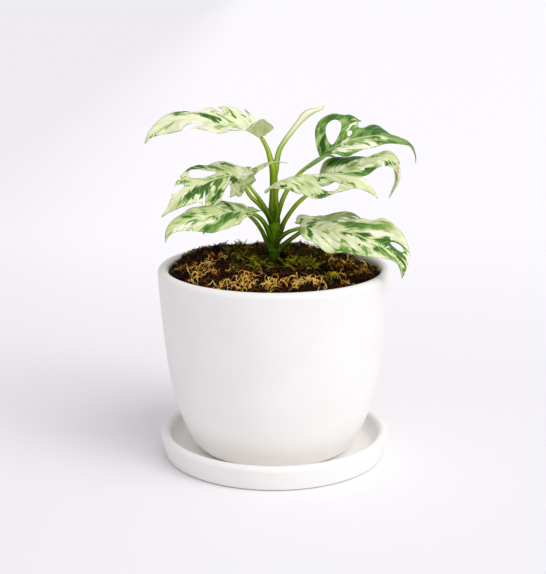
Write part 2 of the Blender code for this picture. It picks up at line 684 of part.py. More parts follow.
def add_moss(name, inner, outer, rings, surface):
    """A mat of moss between an inner and an outer edge, flat below and lumpy above."""
    bm = bmesh.new()
    tops = []
    bottoms = []
    for i in range(MOSS_SECTORS):
        angle = 2.0 * math.pi * i / MOSS_SECTORS
        top = []
        for ring in range(rings + 1):
            radius = inner(angle) + (outer(angle) - inner(angle)) * ring / rings
            x = radius * math.cos(angle)
            y = radius * math.sin(angle)
            top.append(bm.verts.new((x, y, moss_height(x, y))))
        tops.append(top)
        ends = (top[0].co, top[-1].co)
        bottoms.append([bm.verts.new((end.x, end.y, SOIL_TOP + GAP)) for end in ends])
    for i in range(MOSS_SECTORS):
        j = (i + 1) % MOSS_SECTORS
        for k in range(rings):
            bm.faces.new((tops[i][k], tops[i][k + 1], tops[j][k + 1], tops[j][k]))
        bm.faces.new((bottoms[i][0], tops[i][0], tops[j][0], bottoms[j][0]))
        bm.faces.new((tops[i][-1], bottoms[i][1], bottoms[j][1], tops[j][-1]))
        bm.faces.new((bottoms[i][1], bottoms[i][0], bottoms[j][0], bottoms[j][1]))
    bmesh.ops.triangulate(bm, faces=bm.faces[:])
    bmesh.ops.recalc_face_normals(bm, faces=bm.faces[:])
    return add_part(name, bm, surface, 60.0)


def stem_mesh(clearance=0.0):
    """The main stem, turned with its node rings."""
    points = [(0.0, 0.0, height) for height, _ in STEM_PROFILE]
    radii = [radius + clearance for _, radius in STEM_PROFILE]
    return tube_mesh(points, radii, STEM_SIDES, 1)


def stalk_mesh(leaf, clearance=0.0):
    """A leaf's stalk. With a clearance it is fatter and longer by that much, to cut its blade."""
    points = [Vector(point) for point in leaf["stalk"]]
    points[-1] += (points[-1] - points[-2]).normalized() * clearance
    radii = [radius + clearance for radius in leaf["stalk_radii"]]
    return tube_mesh(points, radii, STALK_SIDES, 3)


def rolled_section(share):
    """The snail-like section of a rolled leaf: its radius grows to the free edge, then steps in."""
    return 0.84 + 0.3 * share


def rolled_leaf_mesh():
    """The new leaf, still rolled lengthwise round itself."""
    points = [row[:3] for row in NEW_LEAF]
    radii = [row[3] for row in NEW_LEAF]
    return tube_mesh(points, radii, 9, 2, rolled_section)


def main():
    for thing in list(bpy.data.objects):
        bpy.data.objects.remove(thing)

    ceramic = material("white_ceramic", (0.86, 0.855, 0.85), 0.42)
    soil_brown = material("potting_soil", (0.035, 0.02, 0.012), 0.95)
    moss_green = material("green_moss", (0.12, 0.14, 0.02), 0.95)
    moss_brown = material("dried_moss", (0.16, 0.08, 0.025), 0.95)
    stem_green = material("stem_green", (0.07, 0.16, 0.015), 0.5)
    stalk_green = material("stalk_green", (0.2, 0.32, 0.04), 0.5)
    blade_green = material("variegated_leaf", (0.5, 0.62, 0.36), 0.45)
    new_green = material("new_leaf_green", (0.5, 0.62, 0.2), 0.45)

    add_saucer(ceramic)
    add_pot(ceramic)
    add_soil(soil_brown)
    mouth = pot_outer_radius(SOIL_TOP) - POT_WALL - GAP
    add_moss("moss_green", lambda angle: STEM_HOLE_RADIUS, green_reach, MOSS_RINGS_GREEN, moss_green)
    add_moss("moss_brown", lambda angle: green_reach(angle) + 2.0 * GAP, lambda angle: mouth,
             MOSS_RINGS_BROWN, moss_brown)

    add_part("stem", stem_mesh(), stem_green)
    stem_cutter = add_cutter("stem_clearance", stem_mesh(GAP), stem_green)
    new_leaf = add_part("new_leaf", rolled_leaf_mesh(), new_green)
    for name, leaf in LEAVES.items():
        stalk = add_part("stalk_" + name, stalk_mesh(leaf), stalk_green)
        stalk_cutter = add_cutter("clearance_" + name, stalk_mesh(leaf, GAP), stalk_green)
        blade = add_part("blade_" + name, blade_mesh(leaf), blade_green, 60.0)
        cut_by(blade, stalk_cutter)
        if name == "top_left":
            cut_by(new_leaf, stalk_cutter)
        else:
            cut_by(stalk, stem_cutter)


main()
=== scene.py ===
"""Looks for the potted variegated monstera: finer leaves with veins and cream and green marks,
stalks, stem, a glazed pot and saucer, and moss made of curly strands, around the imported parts.

Tables are in millimetres, as in the part's source, and every mesh is scaled to metres when it
is made. +Z is up, the pot's axis is the Z axis and the photographed side faces -Y.
"""

import math

import bpy
import numpy as np
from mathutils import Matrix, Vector, geometry, noise


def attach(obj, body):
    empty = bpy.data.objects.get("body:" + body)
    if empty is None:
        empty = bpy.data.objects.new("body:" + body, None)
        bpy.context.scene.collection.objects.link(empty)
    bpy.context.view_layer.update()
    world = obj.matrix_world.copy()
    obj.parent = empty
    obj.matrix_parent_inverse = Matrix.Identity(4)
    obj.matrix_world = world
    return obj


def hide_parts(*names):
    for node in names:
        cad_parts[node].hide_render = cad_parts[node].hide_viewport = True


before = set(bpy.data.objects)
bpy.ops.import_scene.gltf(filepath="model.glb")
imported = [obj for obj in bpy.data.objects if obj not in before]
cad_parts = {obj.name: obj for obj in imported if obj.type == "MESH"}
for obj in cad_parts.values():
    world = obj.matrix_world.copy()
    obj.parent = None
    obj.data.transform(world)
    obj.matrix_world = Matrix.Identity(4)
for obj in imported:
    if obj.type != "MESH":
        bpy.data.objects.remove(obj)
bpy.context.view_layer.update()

MM = 0.001
TINY = 1e-12

# Camera, in millimetres and degrees, and its focal length in pixels of the 546 x 574 frame
CAMERA_PLACE = (-1.0, -869.5, 338.0)
CAMERA_PITCH = 14.16
FOCAL_PIXELS = 1300.0
FRAME_HEIGHT = 574
SENSOR = 36.0
CAMERA_CLIP = (0.01, 100.0)

# Pot and saucer, as (radius, height) outlines in the part's own sizes
GAP = 0.3
TURN_STEPS = 192
ON_AXIS = 0.01
POT_FOOT = 5.5
POT_WALL = 7.2
POT_FLOOR = 7.0
DRAIN_RADIUS = 7.0
FOOT_RING_INSIDE = 39.5
FOOT_RING_BEVEL = 1.0
FOOT_RECESS = 1.6
LIP_CENTRE = (76.4, 130.3)
LIP_RADIUS = 3.65
LIP_ARC = (8.0, 172.0)
POT_OUTSIDE = (
    (44.0, POT_FOOT), (50.8, 5.9), (56.0, 9.5), (60.3, 16.5), (65.3, 28.5), (70.2, 44.0),
    (74.0, 64.0), (77.0, 90.0), (79.2, 116.0), (80.0, 129.5),
)
INNER_WALL_HEIGHTS = (128.5, 110.0, 85.0, 62.0, 44.0, 30.0, 20.0)
INNER_CORNER = ((48.0, POT_FOOT + POT_FLOOR + 1.0), (42.0, POT_FOOT + POT_FLOOR))
SAUCER_FLOOR = 5.2
SAUCER_UNDERSIDE = ((0.0, 0.0), (75.2, 0.0), (76.9, 1.0), (77.4, 3.0))
SAUCER_RIM_CENTRE = (76.7, 14.0)
SAUCER_RIM_RADIUS = 3.4
SAUCER_INSIDE = ((73.3, 12.0), (72.8, 9.6), (71.6, 7.2), (69.6, SAUCER_FLOOR + 0.1))
SAUCER_FLOOR_REACH = 66.0
SAUCER_RIM_ARC = (0.0, 180.0)
RIM_STEPS = 24
WALL_STEPS = 8
INSIDE_STEPS = 4
DISH_STEPS = 6

# Moss: swells as (x, y, size, rise), waves of the green edge as (size, turns, start), and the mats' lumps
# as (height, size, seed)
SOIL_TOP = 119.0
SOIL_HOLE_BOTTOM = 96.0
STEM_HOLE_RADIUS = 3.9
MOSS_MOUTH_RADIUS = 72.8
MOSS_CROWN = 138.2
MOSS_EDGE = 130.2
MOSS_SWELLS = ((-52.0, 42.0, 15.0, 3.6), (62.0, 27.0, 17.0, -3.2))
MOSS_RELIEF = 3.0
MOSS_LUMP = 8.5
MOSS_LUMP_SEED = 3.7
FINE_LUMPS = 2.1
GREEN_MOSS_REACH = 33.0
GREEN_WAVES = ((7.0, 1.0, 0.0), (3.0, 3.0, 0.8), (2.0, 5.0, 0.5 * math.pi))
GREEN_OVERHANG = 3.0
MAT_LUMPS = ((1.5, 2.6, 9.1), (0.6, 0.9, 4.4))
MAT_SINK = 0.7
MAT_SECTORS = 300
MAT_RINGS_GREEN = 36
MAT_RINGS_BROWN = 42

# How finely the blades are divided, and their first rows of points beside the midrib
BLADE_CELL = 0.6
FIRST_ROWS = (0.5, 1.1)
ROW_STEP = 0.9
ROWS_REACH = 1.3
RIB_STEPS = 8
OUTLINE_STEPS = 6
SLIT_STEPS = 24
WINDOW_STEPS = 40
SAME_PLACE = 1e-4

# The blades' outlines: slits run past the margin, and windows are fuller towards the tip
TIP_HALF_WIDTH = 0.35
SLIT_REACH = 1.25
SLIT_EASE = 1.4
SLIT_FLARE = 0.55
WINDOW_EGG = 0.25
PLAIN_TAPER = (1.0, 1.0)
NO_SWEEP = (0.0, 0.0)

# The blades' bend and waves, their thickness and keel, and the relief between their veins
RIB_SPAN = 0.04
FOLD_ARCH = 16.0
MARGIN_WAVE = 0.9
WAVES_PER_LEAF = 3.1
WAVE_SHIFT = 0.37
BLADE_MIDDLE = 0.62
BLADE_MARGIN = 0.26
MARGIN_REACH = 2.2
UNDER_RELIEF = 0.8
RIB_ROW = 1.9
RIB_DEPTH = 0.8
RIB_EASE = 0.7
RIB_START = 0.5
VEIN_SWEEP = 0.62
VEINS_PER_BLADE = 9.0
VEIN_RELIEF = 0.42
VEIN_SHARPNESS = 0.7
FINE_RELIEF = 0.06
FINE_VEINS = 4.0
GROOVE_DEPTH = 0.35
GROOVE_WIDTH = 0.8
RIB_FADE = (0.3, 4.0)
EDGE_FADE = (0.0, 3.0)

# Marks on the blades: how they drift and fray, as (weight, size, seed), and where they fade, in half sizes
STREAK_SWEEP = (0.6, 2.4)
PATCH_WAVE = 5.5
PATCH_DRIFT = 2.0
PATCH_FRAY = 5.0
PATCH_EDGE = (0.7, 1.15)
DRIFT_SEEDS = (0.0, 50.0)
FRAY_LAYERS = ((1.0, 2.4, 90.0), (0.5, 0.96, 130.0))
STRAND_HOLD = 0.12
DRY_EDGE = (0.5, 1.2)
NO_YELLOW = (2.0, 3.0)
SEED_SHIFT = 17.3

# Stalks, stem and rolled leaf: the sides of their tubes, and the steps between their points
STALK_MESH = (18, 12)
STEM_MESH = (36, 1)
NEW_LEAF_MESH = (40, 14)
STEM_STEPS = 160

# Edges that turn more than these angles stay sharp. Grain is how wide and long the streaks' noise runs.
STALK_CREASE = 60.0
ROLL_CREASE = 50.0
CERAMIC_CREASE = 40.0
STALK_GRAIN = (2.0, 12.0)
STEM_GRAIN = (3.0, 10.0)
ROLL_GRAIN = (1.4, 6.0)

# Their sections, as shares of the radius, with the stem's ribs as (number, depth, twist)
CLASP_SWELL = 0.16
CLASP_REACH = 0.25
JOINT_SWELL = 0.12
JOINT_PLACE = 0.93
JOINT_WIDTH = 0.04
STALK_RIBS = 7.0
STALK_RIB_DEPTH = 0.03
STEM_RIBS = ((9.0, 0.025, 2.0), (17.0, 0.012, 0.0))
ROLL_LEAST = 0.84
ROLL_GROWTH = 0.3
ROLL_STEP = 0.26
ROLL_EDGE = (0.955, 0.995)

# Rings on the stem, as (height, size), and where its scars are, as shares of its height
RING_WIDTH = 0.55
NODE_RINGS = ((144.4, 0.25), (159.8, 0.3), (165.0, 0.15))
STEM_SCARS = (0.64, 0.845)

# Marks on the blades: the ground tone, from 0, cream, to 1, dark green; the shares
# of the length between which the blade turns yellow, where it does; patches, each (distance along
# the midrib, distance to its left, half length, half width, turn in degrees, tone); and dried
# spots, where there are any, each (distance along the midrib, distance to its left, radius)
MARKS = {
    "top_left": {"ground": 0.24, "patches": (
        (4, 5, 5.5, 6.5, 0, 0.36), (12, 15.5, 3, 1.5, 80, 0.42), (20, 9, 5, 3, 80, 0.42),
        (23.5, 6, 4, 1, 80, 0.5), (25, 18, 1.5, 1.3, 0, 0.78), (31, 12, 5, 3, 10, 0.52),
        (37, 4, 5, 3, 80, 0.4), (46, 6.5, 4, 2, 0, 0.02), (64.5, 2, 5, 1.5, 20, 0.5),
        (69, 2.4, 6, 0.8, -4, 0.5), (76, 2.2, 1.3, 0.9, 0, 0.62), (80, 1.5, 1.5, 1, 0, 0.68),
        (20.8, -8, 3.4, 1.1, -62, 0.76), (22.8, -12, 3, 1, -70, 0.62), (24.8, -9.5, 2.6, 0.7, 75, 0.64),
        (14.5, -10, 2, 1.2, -30, 0.64), (11, -15.5, 3, 1.1, 50, 0.64), (26, -4, 6.5, 1.2, -32, 0.5),
        (34, -4, 6, 2.6, -38, 0.84), (40, -6.5, 5, 2.4, -35, 0.84), (36.5, -2.5, 2.5, 0.9, -40, 0.4),
        (46, -9, 5, 1.4, 78, 0.7), (54, -8.5, 6, 3.2, 62, 0.74), (57.5, -7.5, 3.4, 2, -30, 0.7),
        (33, -11, 3, 1, -70, 0.42), (38, -12.5, 4, 3, 0, 0.05), (42, -3, 2.5, 1.2, -50, 0.05))},
    "top_right": {"ground": 0.6, "patches": (
        (46, 11, 11, 7.5, 0, 0.78), (24, 21.5, 12, 3.6, 12, 0.8), (6.5, 12, 5, 1.9, 55, 0.4),
        (12, 18.5, 5, 2, 40, 0.7), (29.5, 18, 5.5, 1.8, 80, 0.86), (31.5, 16, 7, 0.9, 85, 0.26),
        (27, 11.5, 4.5, 1, 45, 0.04), (17, 5, 7, 1.5, 45, 0.54), (15, 0.5, 7, 2, 20, 0.66),
        (7, 5.5, 7, 1.6, 48, 0.95), (5, -4, 6, 2.5, -45, 0.78), (29, -3.5, 10, 3.6, 5, 0.54),
        (19, -0.5, 6.5, 1, 38, 0.04), (31, 1.8, 9, 1.6, 8, 0.76), (36, 5, 5, 3, 30, 0.6),
        (43, 13, 9, 5, 60, 0.8), (41, -1, 5.5, 3, 90, 0.8), (47, -4, 3.5, 2.6, 0, 0.03),
        (56, 0, 9, 6, 0, 0.6), (51, -9.5, 5, 1.7, 18, 0.82), (27, -10.8, 18, 3, -3, 0.07),
        (43.5, -10.5, 3, 1.2, 20, 0.82), (17.5, -15, 5, 1, 0, 0.78), (33, -9.5, 3.5, 1.4, -20, 0.62),
        (65.5, 4, 4.5, 1.8, 75, 0.8), (20, -6.5, 8, 1.4, -10, 0.3), (38, -7.5, 6, 1.4, 0, 0.34))},
    "mid_right": {"ground": 0.4, "yellow": (0.8, 1.0), "dry": (
        (54.0, 2.6, 1.4), (56.5, 2.8, 1.7), (59.0, 2.4, 1.5), (61.0, 1.6, 1.1)), "patches": (
        (24.5, -2.5, 5, 3.5, 0, 0.48), (37, -2, 7, 3, 0, 0.32), (19, 10, 13, 5, 0, 0.76),
        (27, 11, 5, 3.5, -14, 0.78), (24, 4.8, 5, 0.9, -4, 0.05), (12, 3.5, 7, 1.2, -10, 0.12),
        (24, 2, 4.5, 1.8, 0, 0.54), (14.5, -3.5, 6, 1.1, -58, 0.72), (16.5, -2, 5.5, 1, -65, 0.1),
        (30.5, 3, 5, 1.5, 85, 0.08), (38, 4.5, 6.5, 1.3, -52, 0.7), (36, -7, 9, 1.5, 2, 0.15),
        (33, -11.5, 11, 3, -2, 0.72), (32.5, -9, 4, 1, 0, 0.78), (44, 4, 7, 1.6, 85, 0.5),
        (46, -4, 5, 4, 0, 0.3), (51.3, -3, 6, 1.8, 85, 0.78), (63, -3, 3.5, 1.5, 0, 0.72),
        (57, 3, 5, 2, -10, 0.14), (68, 0, 5, 1.6, 0, 0.2), (71, 1.5, 5, 0.8, 0, 0.64))},
    "low_right_front": {"ground": 0.3, "patches": (
        (13, 15, 6, 6, 0, 0.54), (4, -9, 10, 2.2, -67, 0.5), (12, -8, 10, 2.4, -68, 0.1),
        (6, 8, 7.5, 2, 85, 0.82), (9, -8, 12, 1.7, -67, 0.78), (-3.5, 8, 3, 1.2, -60, 0.8),
        (22, 10, 6, 2, -40, 0.68), (24.5, 14.5, 5, 1.7, -52, 0.04), (29, 18.5, 6, 2.6, 0, 0.76),
        (29.5, 14, 3.5, 1.8, 0, 0.58), (34, 7.5, 9, 5, 15, 0.68), (49, 11.5, 9, 3, 5, 0.62),
        (34, 12.5, 7.5, 0.9, 12, 0.1), (54, 15.5, 5, 3.5, 0, 0.5), (49, 5.5, 10, 2, 18, 0.04),
        (39.5, 0, 11, 2, 17, 0.82), (31, -2.3, 2.8, 2.2, 0, 0.78), (44.5, -2.8, 4.4, 2, 0, 0.76),
        (52, -3, 6, 1.8, 60, 0.05), (56.5, -4, 4.6, 3.8, 0, 0.74), (66, -4, 9, 3, 4, 0.58),
        (64, 4, 12, 4.4, 5, 0.75), (63, 3, 1.6, 0.8, 0, 0.1), (61, 8, 1.5, 0.8, 0, 0.15),
        (72, 9.5, 6, 2, -45, 0.12), (76, 0, 9, 3, 0, 0.72), (62, 13, 3, 2, 60, 0.42),
        (66, 0.3, 12, 0.7, 0, 0.1),
        (19.5, -6, 3, 2, 0, 0.58), (19, -2, 2.4, 1, 0, 0.52), (35, -11.5, 6, 0.9, -14, 0.58),
        (41, -16, 12, 1.8, 8, 0.62), (48, -9, 1.4, 1.2, 0, 0.8), (51.5, -11.5, 4, 2.2, 45, 0.56),
        (22, -15, 2, 0.8, 0, 0.62), (13.5, 6, 2.6, 0.9, 60, 0.58))},
    "mid_left": {"ground": 0.3, "patches": (
        (10, -5, 8, 4, -35, 0.4), (7.5, 6, 3.6, 2.8, -20, 0.82), (14, 1.2, 11, 1.5, 6, 0.7),
        (29, 6, 9, 2.8, 30, 0.74), (19.5, 7, 5.5, 2.8, 70, 0.7), (23, 14, 6.5, 1.8, 12, 0.78),
        (30.5, 14, 2.5, 1.2, 0, 0.5), (27, 11, 3.5, 2, 10, 0.48), (24, 6.5, 1.8, 1.3, 0, 0.05),
        (39, 5.5, 11, 3.2, 3, 0.78), (32, 1, 8.5, 0.9, -4, 0.04), (44.5, 1.5, 4, 2, 0, 0),
        (49.5, 4.2, 3.4, 2, 0, 0.68), (54, 4, 5, 2, -30, 0.44), (38, 11, 5, 2, 0, 0.05),
        (13, 4.5, 1.6, 0.9, 60, 0.55), (22, -1.5, 8, 1, -6, 0.54), (7, -12.5, 5.5, 1.8, -62, 0.66),
        (10.3, -13.5, 4, 1.3, -70, 0.8), (16.5, -10, 6, 2, -55, 0.66), (27.5, -13, 9.5, 2.4, 13, 0.78),
        (39.2, -5, 3, 1.2, 75, 0.68), (-7, -11, 4, 1.3, 68, 0.64), (1, -9, 5, 2, 80, 0.1),
        (12.5, -15.5, 2.5, 1.3, 0, 0.05))},
    "low_left_front": {"ground": 0.4, "yellow": (0.9, 1.0), "dry": ((60.0, -1, 0.9),), "patches": (
        (5, 10, 6.5, 3, 85, 0.42), (2.3, 15.5, 2, 1.2, 80, 0.8), (-0.3, 9, 5, 0.6, 88, 0.7),
        (28, 13.5, 11, 3, 8, 0.64), (15.5, 8.5, 7.5, 5, 0, 0.74), (9.5, 10, 3.5, 1.4, 85, 0.82),
        (33.5, 11.7, 3.4, 1.3, 0, 0.8), (24.3, 6, 3.8, 1.3, -75, 0.76), (33, 7, 8, 1.8, 0, 0.2),
        (21, 4.5, 3.4, 0.9, 60, 0.2), (30, 1, 6, 1, 4, 0.12), (49, 4, 8, 3.4, -8, 0.08),
        (39.5, 2.7, 5, 1.5, -16, 0.86), (3.5, -8, 8, 2.8, 88, 0.5), (7.5, -9, 4, 1, -80, 0.32),
        # The patch at 12.5 along and 1.8 to the right, of tone 0.05, is a painted highlight: a white glint
        (9.3, -2.3, 2.8, 1.4, -70, 1.0), (11.8, -8, 4, 1.5, -52, 0.95), (12.5, -1.8, 1.6, 0.8, 0, 0.05),
        (15, -1.5, 1.2, 1, 0, 0.7), (12, -12.5, 3, 1.2, 80, 0.7), (28, -7, 6.5, 1.5, 72, 0.62),
        (38.5, -4, 4.4, 2.1, -4, 0.72), (41, -7.5, 5, 1.6, 10, 0.54), (52, -3, 6, 1.6, 8, 0.38))},
    "mid_right_front": {"ground": 0.34, "patches": (
        (25, -10, 6, 3, -15, 0.47), (56, -3, 12, 2, -4, 0.34), (13, -0.5, 3.6, 2.6, -30, 0.56),
        (8.8, -16, 2.4, 1.9, 0, 0.86), (13.5, -17, 1.3, 1, 0, 0.8), (16, -12.5, 4, 1.2, -25, 0.52),
        (26.5, 2, 3.6, 1.6, -50, 0.06), (28.8, 2.5, 5, 0.7, -55, 0.72), (32.3, -2.5, 2.8, 1.3, 80, 0.84),
        (27, -1.8, 3.4, 0.5, -35, 0.56), (36, -11, 4.5, 0.9, -48, 0.6), (37, -15.8, 8, 1.1, 12, 0.76),
        (50.5, 3.5, 7, 4, 5, 0.6), (62, 2, 5, 2.2, 0, 0.14), (48, -6.5, 2.2, 0.6, -45, 0.55),
        (55, -6.7, 4.6, 0.9, -18, 0.6), (48, -9, 2.5, 1.8, 0, 0.1), (-3, -11, 4, 2.5, 60, 0.14),
        (10, 8, 6, 2.6, 30, 0.56))},
    "small_front": {"ground": 0.34, "patches": (
        (-4, -4, 4, 2, 10, 0.66), (-1.5, 1.8, 1.8, 0.7, 0, 0.7), (-2, -7.5, 2.6, 1.6, 0, 0.1),
        (8, 3, 4, 1.2, 5, 0.56), (12.5, -5, 4, 2.6, -40, 0.26), (5.2, -9, 2.6, 1, -65, 0.95),
        (17.5, -4, 3.2, 1.5, -60, 0.62), (19, -0.2, 5, 0.6, 0, 0.08), (25, -1.4, 5, 0.8, 0, 0.62),
        (33, -0.5, 5, 0.8, 0, 0.62))},
    "low_right_back": {"ground": 0.5, "yellow": (-0.6, 0.6), "patches": (
        (25, 8, 9, 3, 20, 0.68), (40, -4, 8, 3, -10, 0.3), (12, -8, 6, 3, -40, 0.66),
        (18, 2, 8, 1.4, 10, 0.1), (36, 12, 7, 1.2, 0, 0.8))},
    "low_left_back": {"ground": 0.52, "yellow": (-0.6, 0.8), "patches": (
        (20, 6, 8, 3, 10, 0.66), (30, -5, 8, 2.6, -10, 0.4), (6, -6, 5, 2, -50, 0.3))},
}

# Moss threads: how many and how far out, and how much darker they are beside the stem
MOSS_SEED = 41
THREAD_REACH = 71.0
DARK_THREADS = 4600
BACK_THREADS = 220
GOLD_LOOSE = 170
GREEN_THREADS = 2000
GREEN_LOOSE = 420
STEM_SHADE = 0.5
STEM_SHADE_REACH = 5.5

# Threads as (shortest, longest, steps, curl, lift), radii as (least, greatest), rings as (inner,
# outer) with the bearings that they lie between where they don't go all the way round, clumps of
# tint as (level, swing, size, seed), and twigs as (number on each thread, length, steps)
DARK_STRANDS = (3.0, 9.0, 6, 0.5, 1.6)
BACK_STRANDS = (2.0, 5.0, 4, 0.35, 2.2)
GOLD_STRANDS = (5.0, 12.0, 8, 0.5, 2.6)
GREEN_STRANDS = (3.0, 7.0, 6, 0.4, 1.9)
DARK_RADII = (0.14, 0.34)
BACK_RADII = (0.12, 0.24)
GOLD_RADII = (0.24, 0.54)
GREEN_RADII = (0.14, 0.28)
DARK_RING = (5.0, THREAD_REACH - 1.0)
BACK_RING = (50.0, THREAD_REACH - 0.5, 20.0, 160.0)
GOLD_RING = (18.0, THREAD_REACH - 1.0)
GREEN_RING = (4.8, 42.0)
GREEN_LOOSE_RING = (30.0, THREAD_REACH - 1.0, -30.0, 150.0)
DARK_CLUMPS = (0.32, 0.75, 7.0, 3.0)
GOLD_CLUMPS = (0.3, 0.7, 8.0, 6.0)
GREEN_CLUMPS = (0.34, 0.55, 6.0, 8.0)
BACK_TINTS = (0.0, 0.6)
DARK_MIX = 0.22
GOLD_MIX = 0.2
GREEN_MIX = 0.18
FROND_MIX = 0.15
GOLD_UPRIGHT = 0.15
GREEN_UPRIGHT = 0.25
UPRIGHT_RUN = 0.35
UPRIGHT_EASE = 0.8
ARCH_EASE = 0.7
ROOT_DEPTH = 0.8
RISE_RANGE = (0.5, 1.3)
STEM_CLEARANCE = 0.9
THREAD_WOBBLE = 0.3
THREAD_SINK = 0.1
KINK_SHARE = 0.8
THREAD_UP = (0.13, 0.29, 0.95)
THREAD_TAPER = 0.75
THREAD_ENDS = 0.75
CURL_STEPS = 14
CURL_CURVE_STEPS = 6
GOLD_CURL_SIZE = 1.35
CURL_TWIGS = (3, 2.6, 4)
LOOSE_TWIGS = (2, 1.9, 3)
TWIG_SIZE = 0.6
TWIG_LEAN = 0.7
TWIG_RANGE = (0.5, 1.2)
TWIG_BEND = 0.3
TWIG_TINT = 0.1
FROND_PAIRS = 6
FROND_LENGTHS = (4.0, 8.0)
FROND_LEAN = (0.2, 1.0)
FROND_WIDTH = 0.42
FROND_TAPER = 0.75
FROND_RANGE = (0.7, 1.1)
FROND_SINK = 0.3
FROND_DROOP = 0.3
FROND_SWAY = 0.15
FROND_TILT = 0.3
FROND_TWIG_WAYS = ((0.5, 0.75), (0.8, 0.45))
SPINE_RADIUS = 0.22
FROND_TWIG_RADIUS = 0.2

# Tufts of threads, as (x, y, spread, count, tint)
GOLD_TUFTS = (
    (-46, -14, 3.5, 16, 0.72), (-50, -32, 4, 14, 0.7), (-20, -57, 3.5, 22, 0.75),
    (-4, -57, 4, 15, 0.65), (14, -55, 3.5, 22, 0.75), (-33, -55, 3, 15, 0.75),
    (26, -52, 3.5, 20, 0.7), (44, -36, 4, 12, 0.5), (42, 4, 4, 16, 0.75),
    (52, -6, 5, 16, 0.55), (-36, 10, 4, 12, 0.7), (-14, -44, 4, 10, 0.6),
    (58, -16, 4, 13, 0.5), (-60, -8, 4, 12, 0.55),
)
GREEN_TUFTS = (
    (-17, -4, 3.5, 30, 0.75), (-9, -20, 4, 34, 0.75), (13, -17, 3.5, 36, 0.9),
    (20, -4, 4, 30, 0.8), (26, -22, 4, 30, 0.85), (-22, 10, 4, 22, 0.6),
    (-26, 50, 6, 40, 0.55), (10, 50, 8, 40, 0.5), (40, -10, 6, 24, 0.45),
    (36, -44, 4, 22, 0.6), (-22, -30, 4, 18, 0.5),
)

# Single curls, each with its tint, thickness and points as (x, y, height over the moss)
GOLD_CURLS = (
    (0.85, 0.5, (
        (-51, -16, 0), (-50.5, -15.5, 2.2), (-48, -16, 2.7), (-43.5, -15.5, 4.3), (-41.5, -16, 5.3))),
    (0.7, 0.42, ((-47, -3.5, 0), (-45, -3, 3.1), (-44.5, -3.5, 5.7), (-43, -3, 4.5))),
    (0.9, 0.45, ((-55, -31.5, 0), (-54.5, -31, 2.6), (-53, -31.5, 5), (-52, -31, 2.9))),
    (0.85, 0.38, ((-47, -35.5, 0), (-45.5, -35, 1.6), (-43, -35.5, 3))),
    (1.0, 0.42, ((-30.5, -8.5, 0.4), (-27.5, -27.5, 1.4), (-24.5, -34, 0.4))),
    (0.9, 0.34, ((-38.5, 9.5, 0.4), (-36.5, 11.5, 1.4), (-35, 18, 0.4))),
    (1.0, 0.38, ((-28.5, 3.5, 0.4), (-27, 1, 1.4), (-25, 0.5, 0.4))),
    (0.75, 0.38, ((-33, -27, 0.4), (-30.5, -31, 1.4), (-28.5, -25.5, 0.4))),
    (0.9, 0.48, ((-34.5, -54.5, 0.4), (-31.5, -57, 1.4), (-29, -53.5, 0.4))),
    (0.85, 0.45, ((-28, -61.5, 0), (-27, -61, 2.4), (-25, -61.5, 3.1), (-23.5, -61, 1))),
    (0.8, 0.45, ((-24.5, -62.5, 0), (-23, -62, 2.2), (-21.5, -62.5, 2))),
    (0.8, 0.5, ((-20, -59, 0), (-20.5, -58.5, 3.9), (-19, -59, 6.2), (-17, -58.5, 4.6), (-17, -59, 1.4))),
    (0.85, 0.45, ((-16.5, -63, 0), (-15.5, -62.5, 3.6), (-13.5, -63, 5.3), (-12.5, -62.5, 2.3))),
    (0.9, 0.5, ((-12, -58, 0.4), (-7.5, -61, 1.3), (-3.5, -57, 1.3), (2.5, -49.5, 0.4))),
    (0.8, 0.42, ((-8, -62.5, 0), (-6.5, -62, 2.3), (-4, -62.5, 3.6), (-1.5, -62, 3.9))),
    (0.8, 0.45, ((-3, -62, 0), (-0.5, -61.5, 2.5), (2.5, -62, 0.6), (4, -61.5, 0))),
    (0.75, 0.48, ((8.5, -50.5, 0), (9.5, -50, 3.6), (12, -50.5, 4.7), (14.5, -50, 2.1), (16, -50.5, 0))),
    (0.95, 0.5, ((13.5, -58.5, 0), (14.5, -58, 3.2), (16, -58.5, 5), (18, -58, 6.9))),
    (0.85, 0.45, ((9, -64.5, 0.4), (11.5, -60, 1.4), (14, -57.5, 0.4))),
    (0.9, 0.45, ((20, -53, 0), (21.5, -52.5, 2.6), (24.5, -53, 2.4), (27.5, -52.5, 0.4), (29.5, -53, 0))),
    (0.85, 0.36, ((22.5, -46, 0), (23, -45.5, 2.9), (24, -46, 4.2))),
    (0.8, 0.36, ((30, -51.5, 0), (30.5, -51, 3.1), (31.5, -51.5, 5.4))),
    (0.85, 0.42, ((25, -57.5, 0.2), (26.5, -57, 0.8), (28.5, -57.5, 0.2))),
    (0.7, 0.4, ((37, -16, 0.1), (36.5, -15.5, 2.6), (38, -16, 6.1), (39.5, -15.5, 4.9))),
    (0.8, 0.42, ((52, 6, 0.4), (53.5, -6, 1.4), (56.5, -6.5, 0.4))),
    (0.6, 0.36, ((57.5, -19.5, 0), (59, -19, 3.3), (62, -19.5, 3))),
)
GREEN_CURLS = (
    (1.0, 0.45, ((37.2, -45.2, 0), (37, -45.2, 4.2), (39.5, -45.2, 7.2), (43, -45.2, 4.3), (44, -45.2, 0))),
    (0.9, 0.4, ((40, -40, 0), (39, -40, 3), (41, -40, 5))),
    (0.8, 0.35, ((-15, -26, 0), (-13, -26, 2.4), (-10, -26, 2.8))),
)

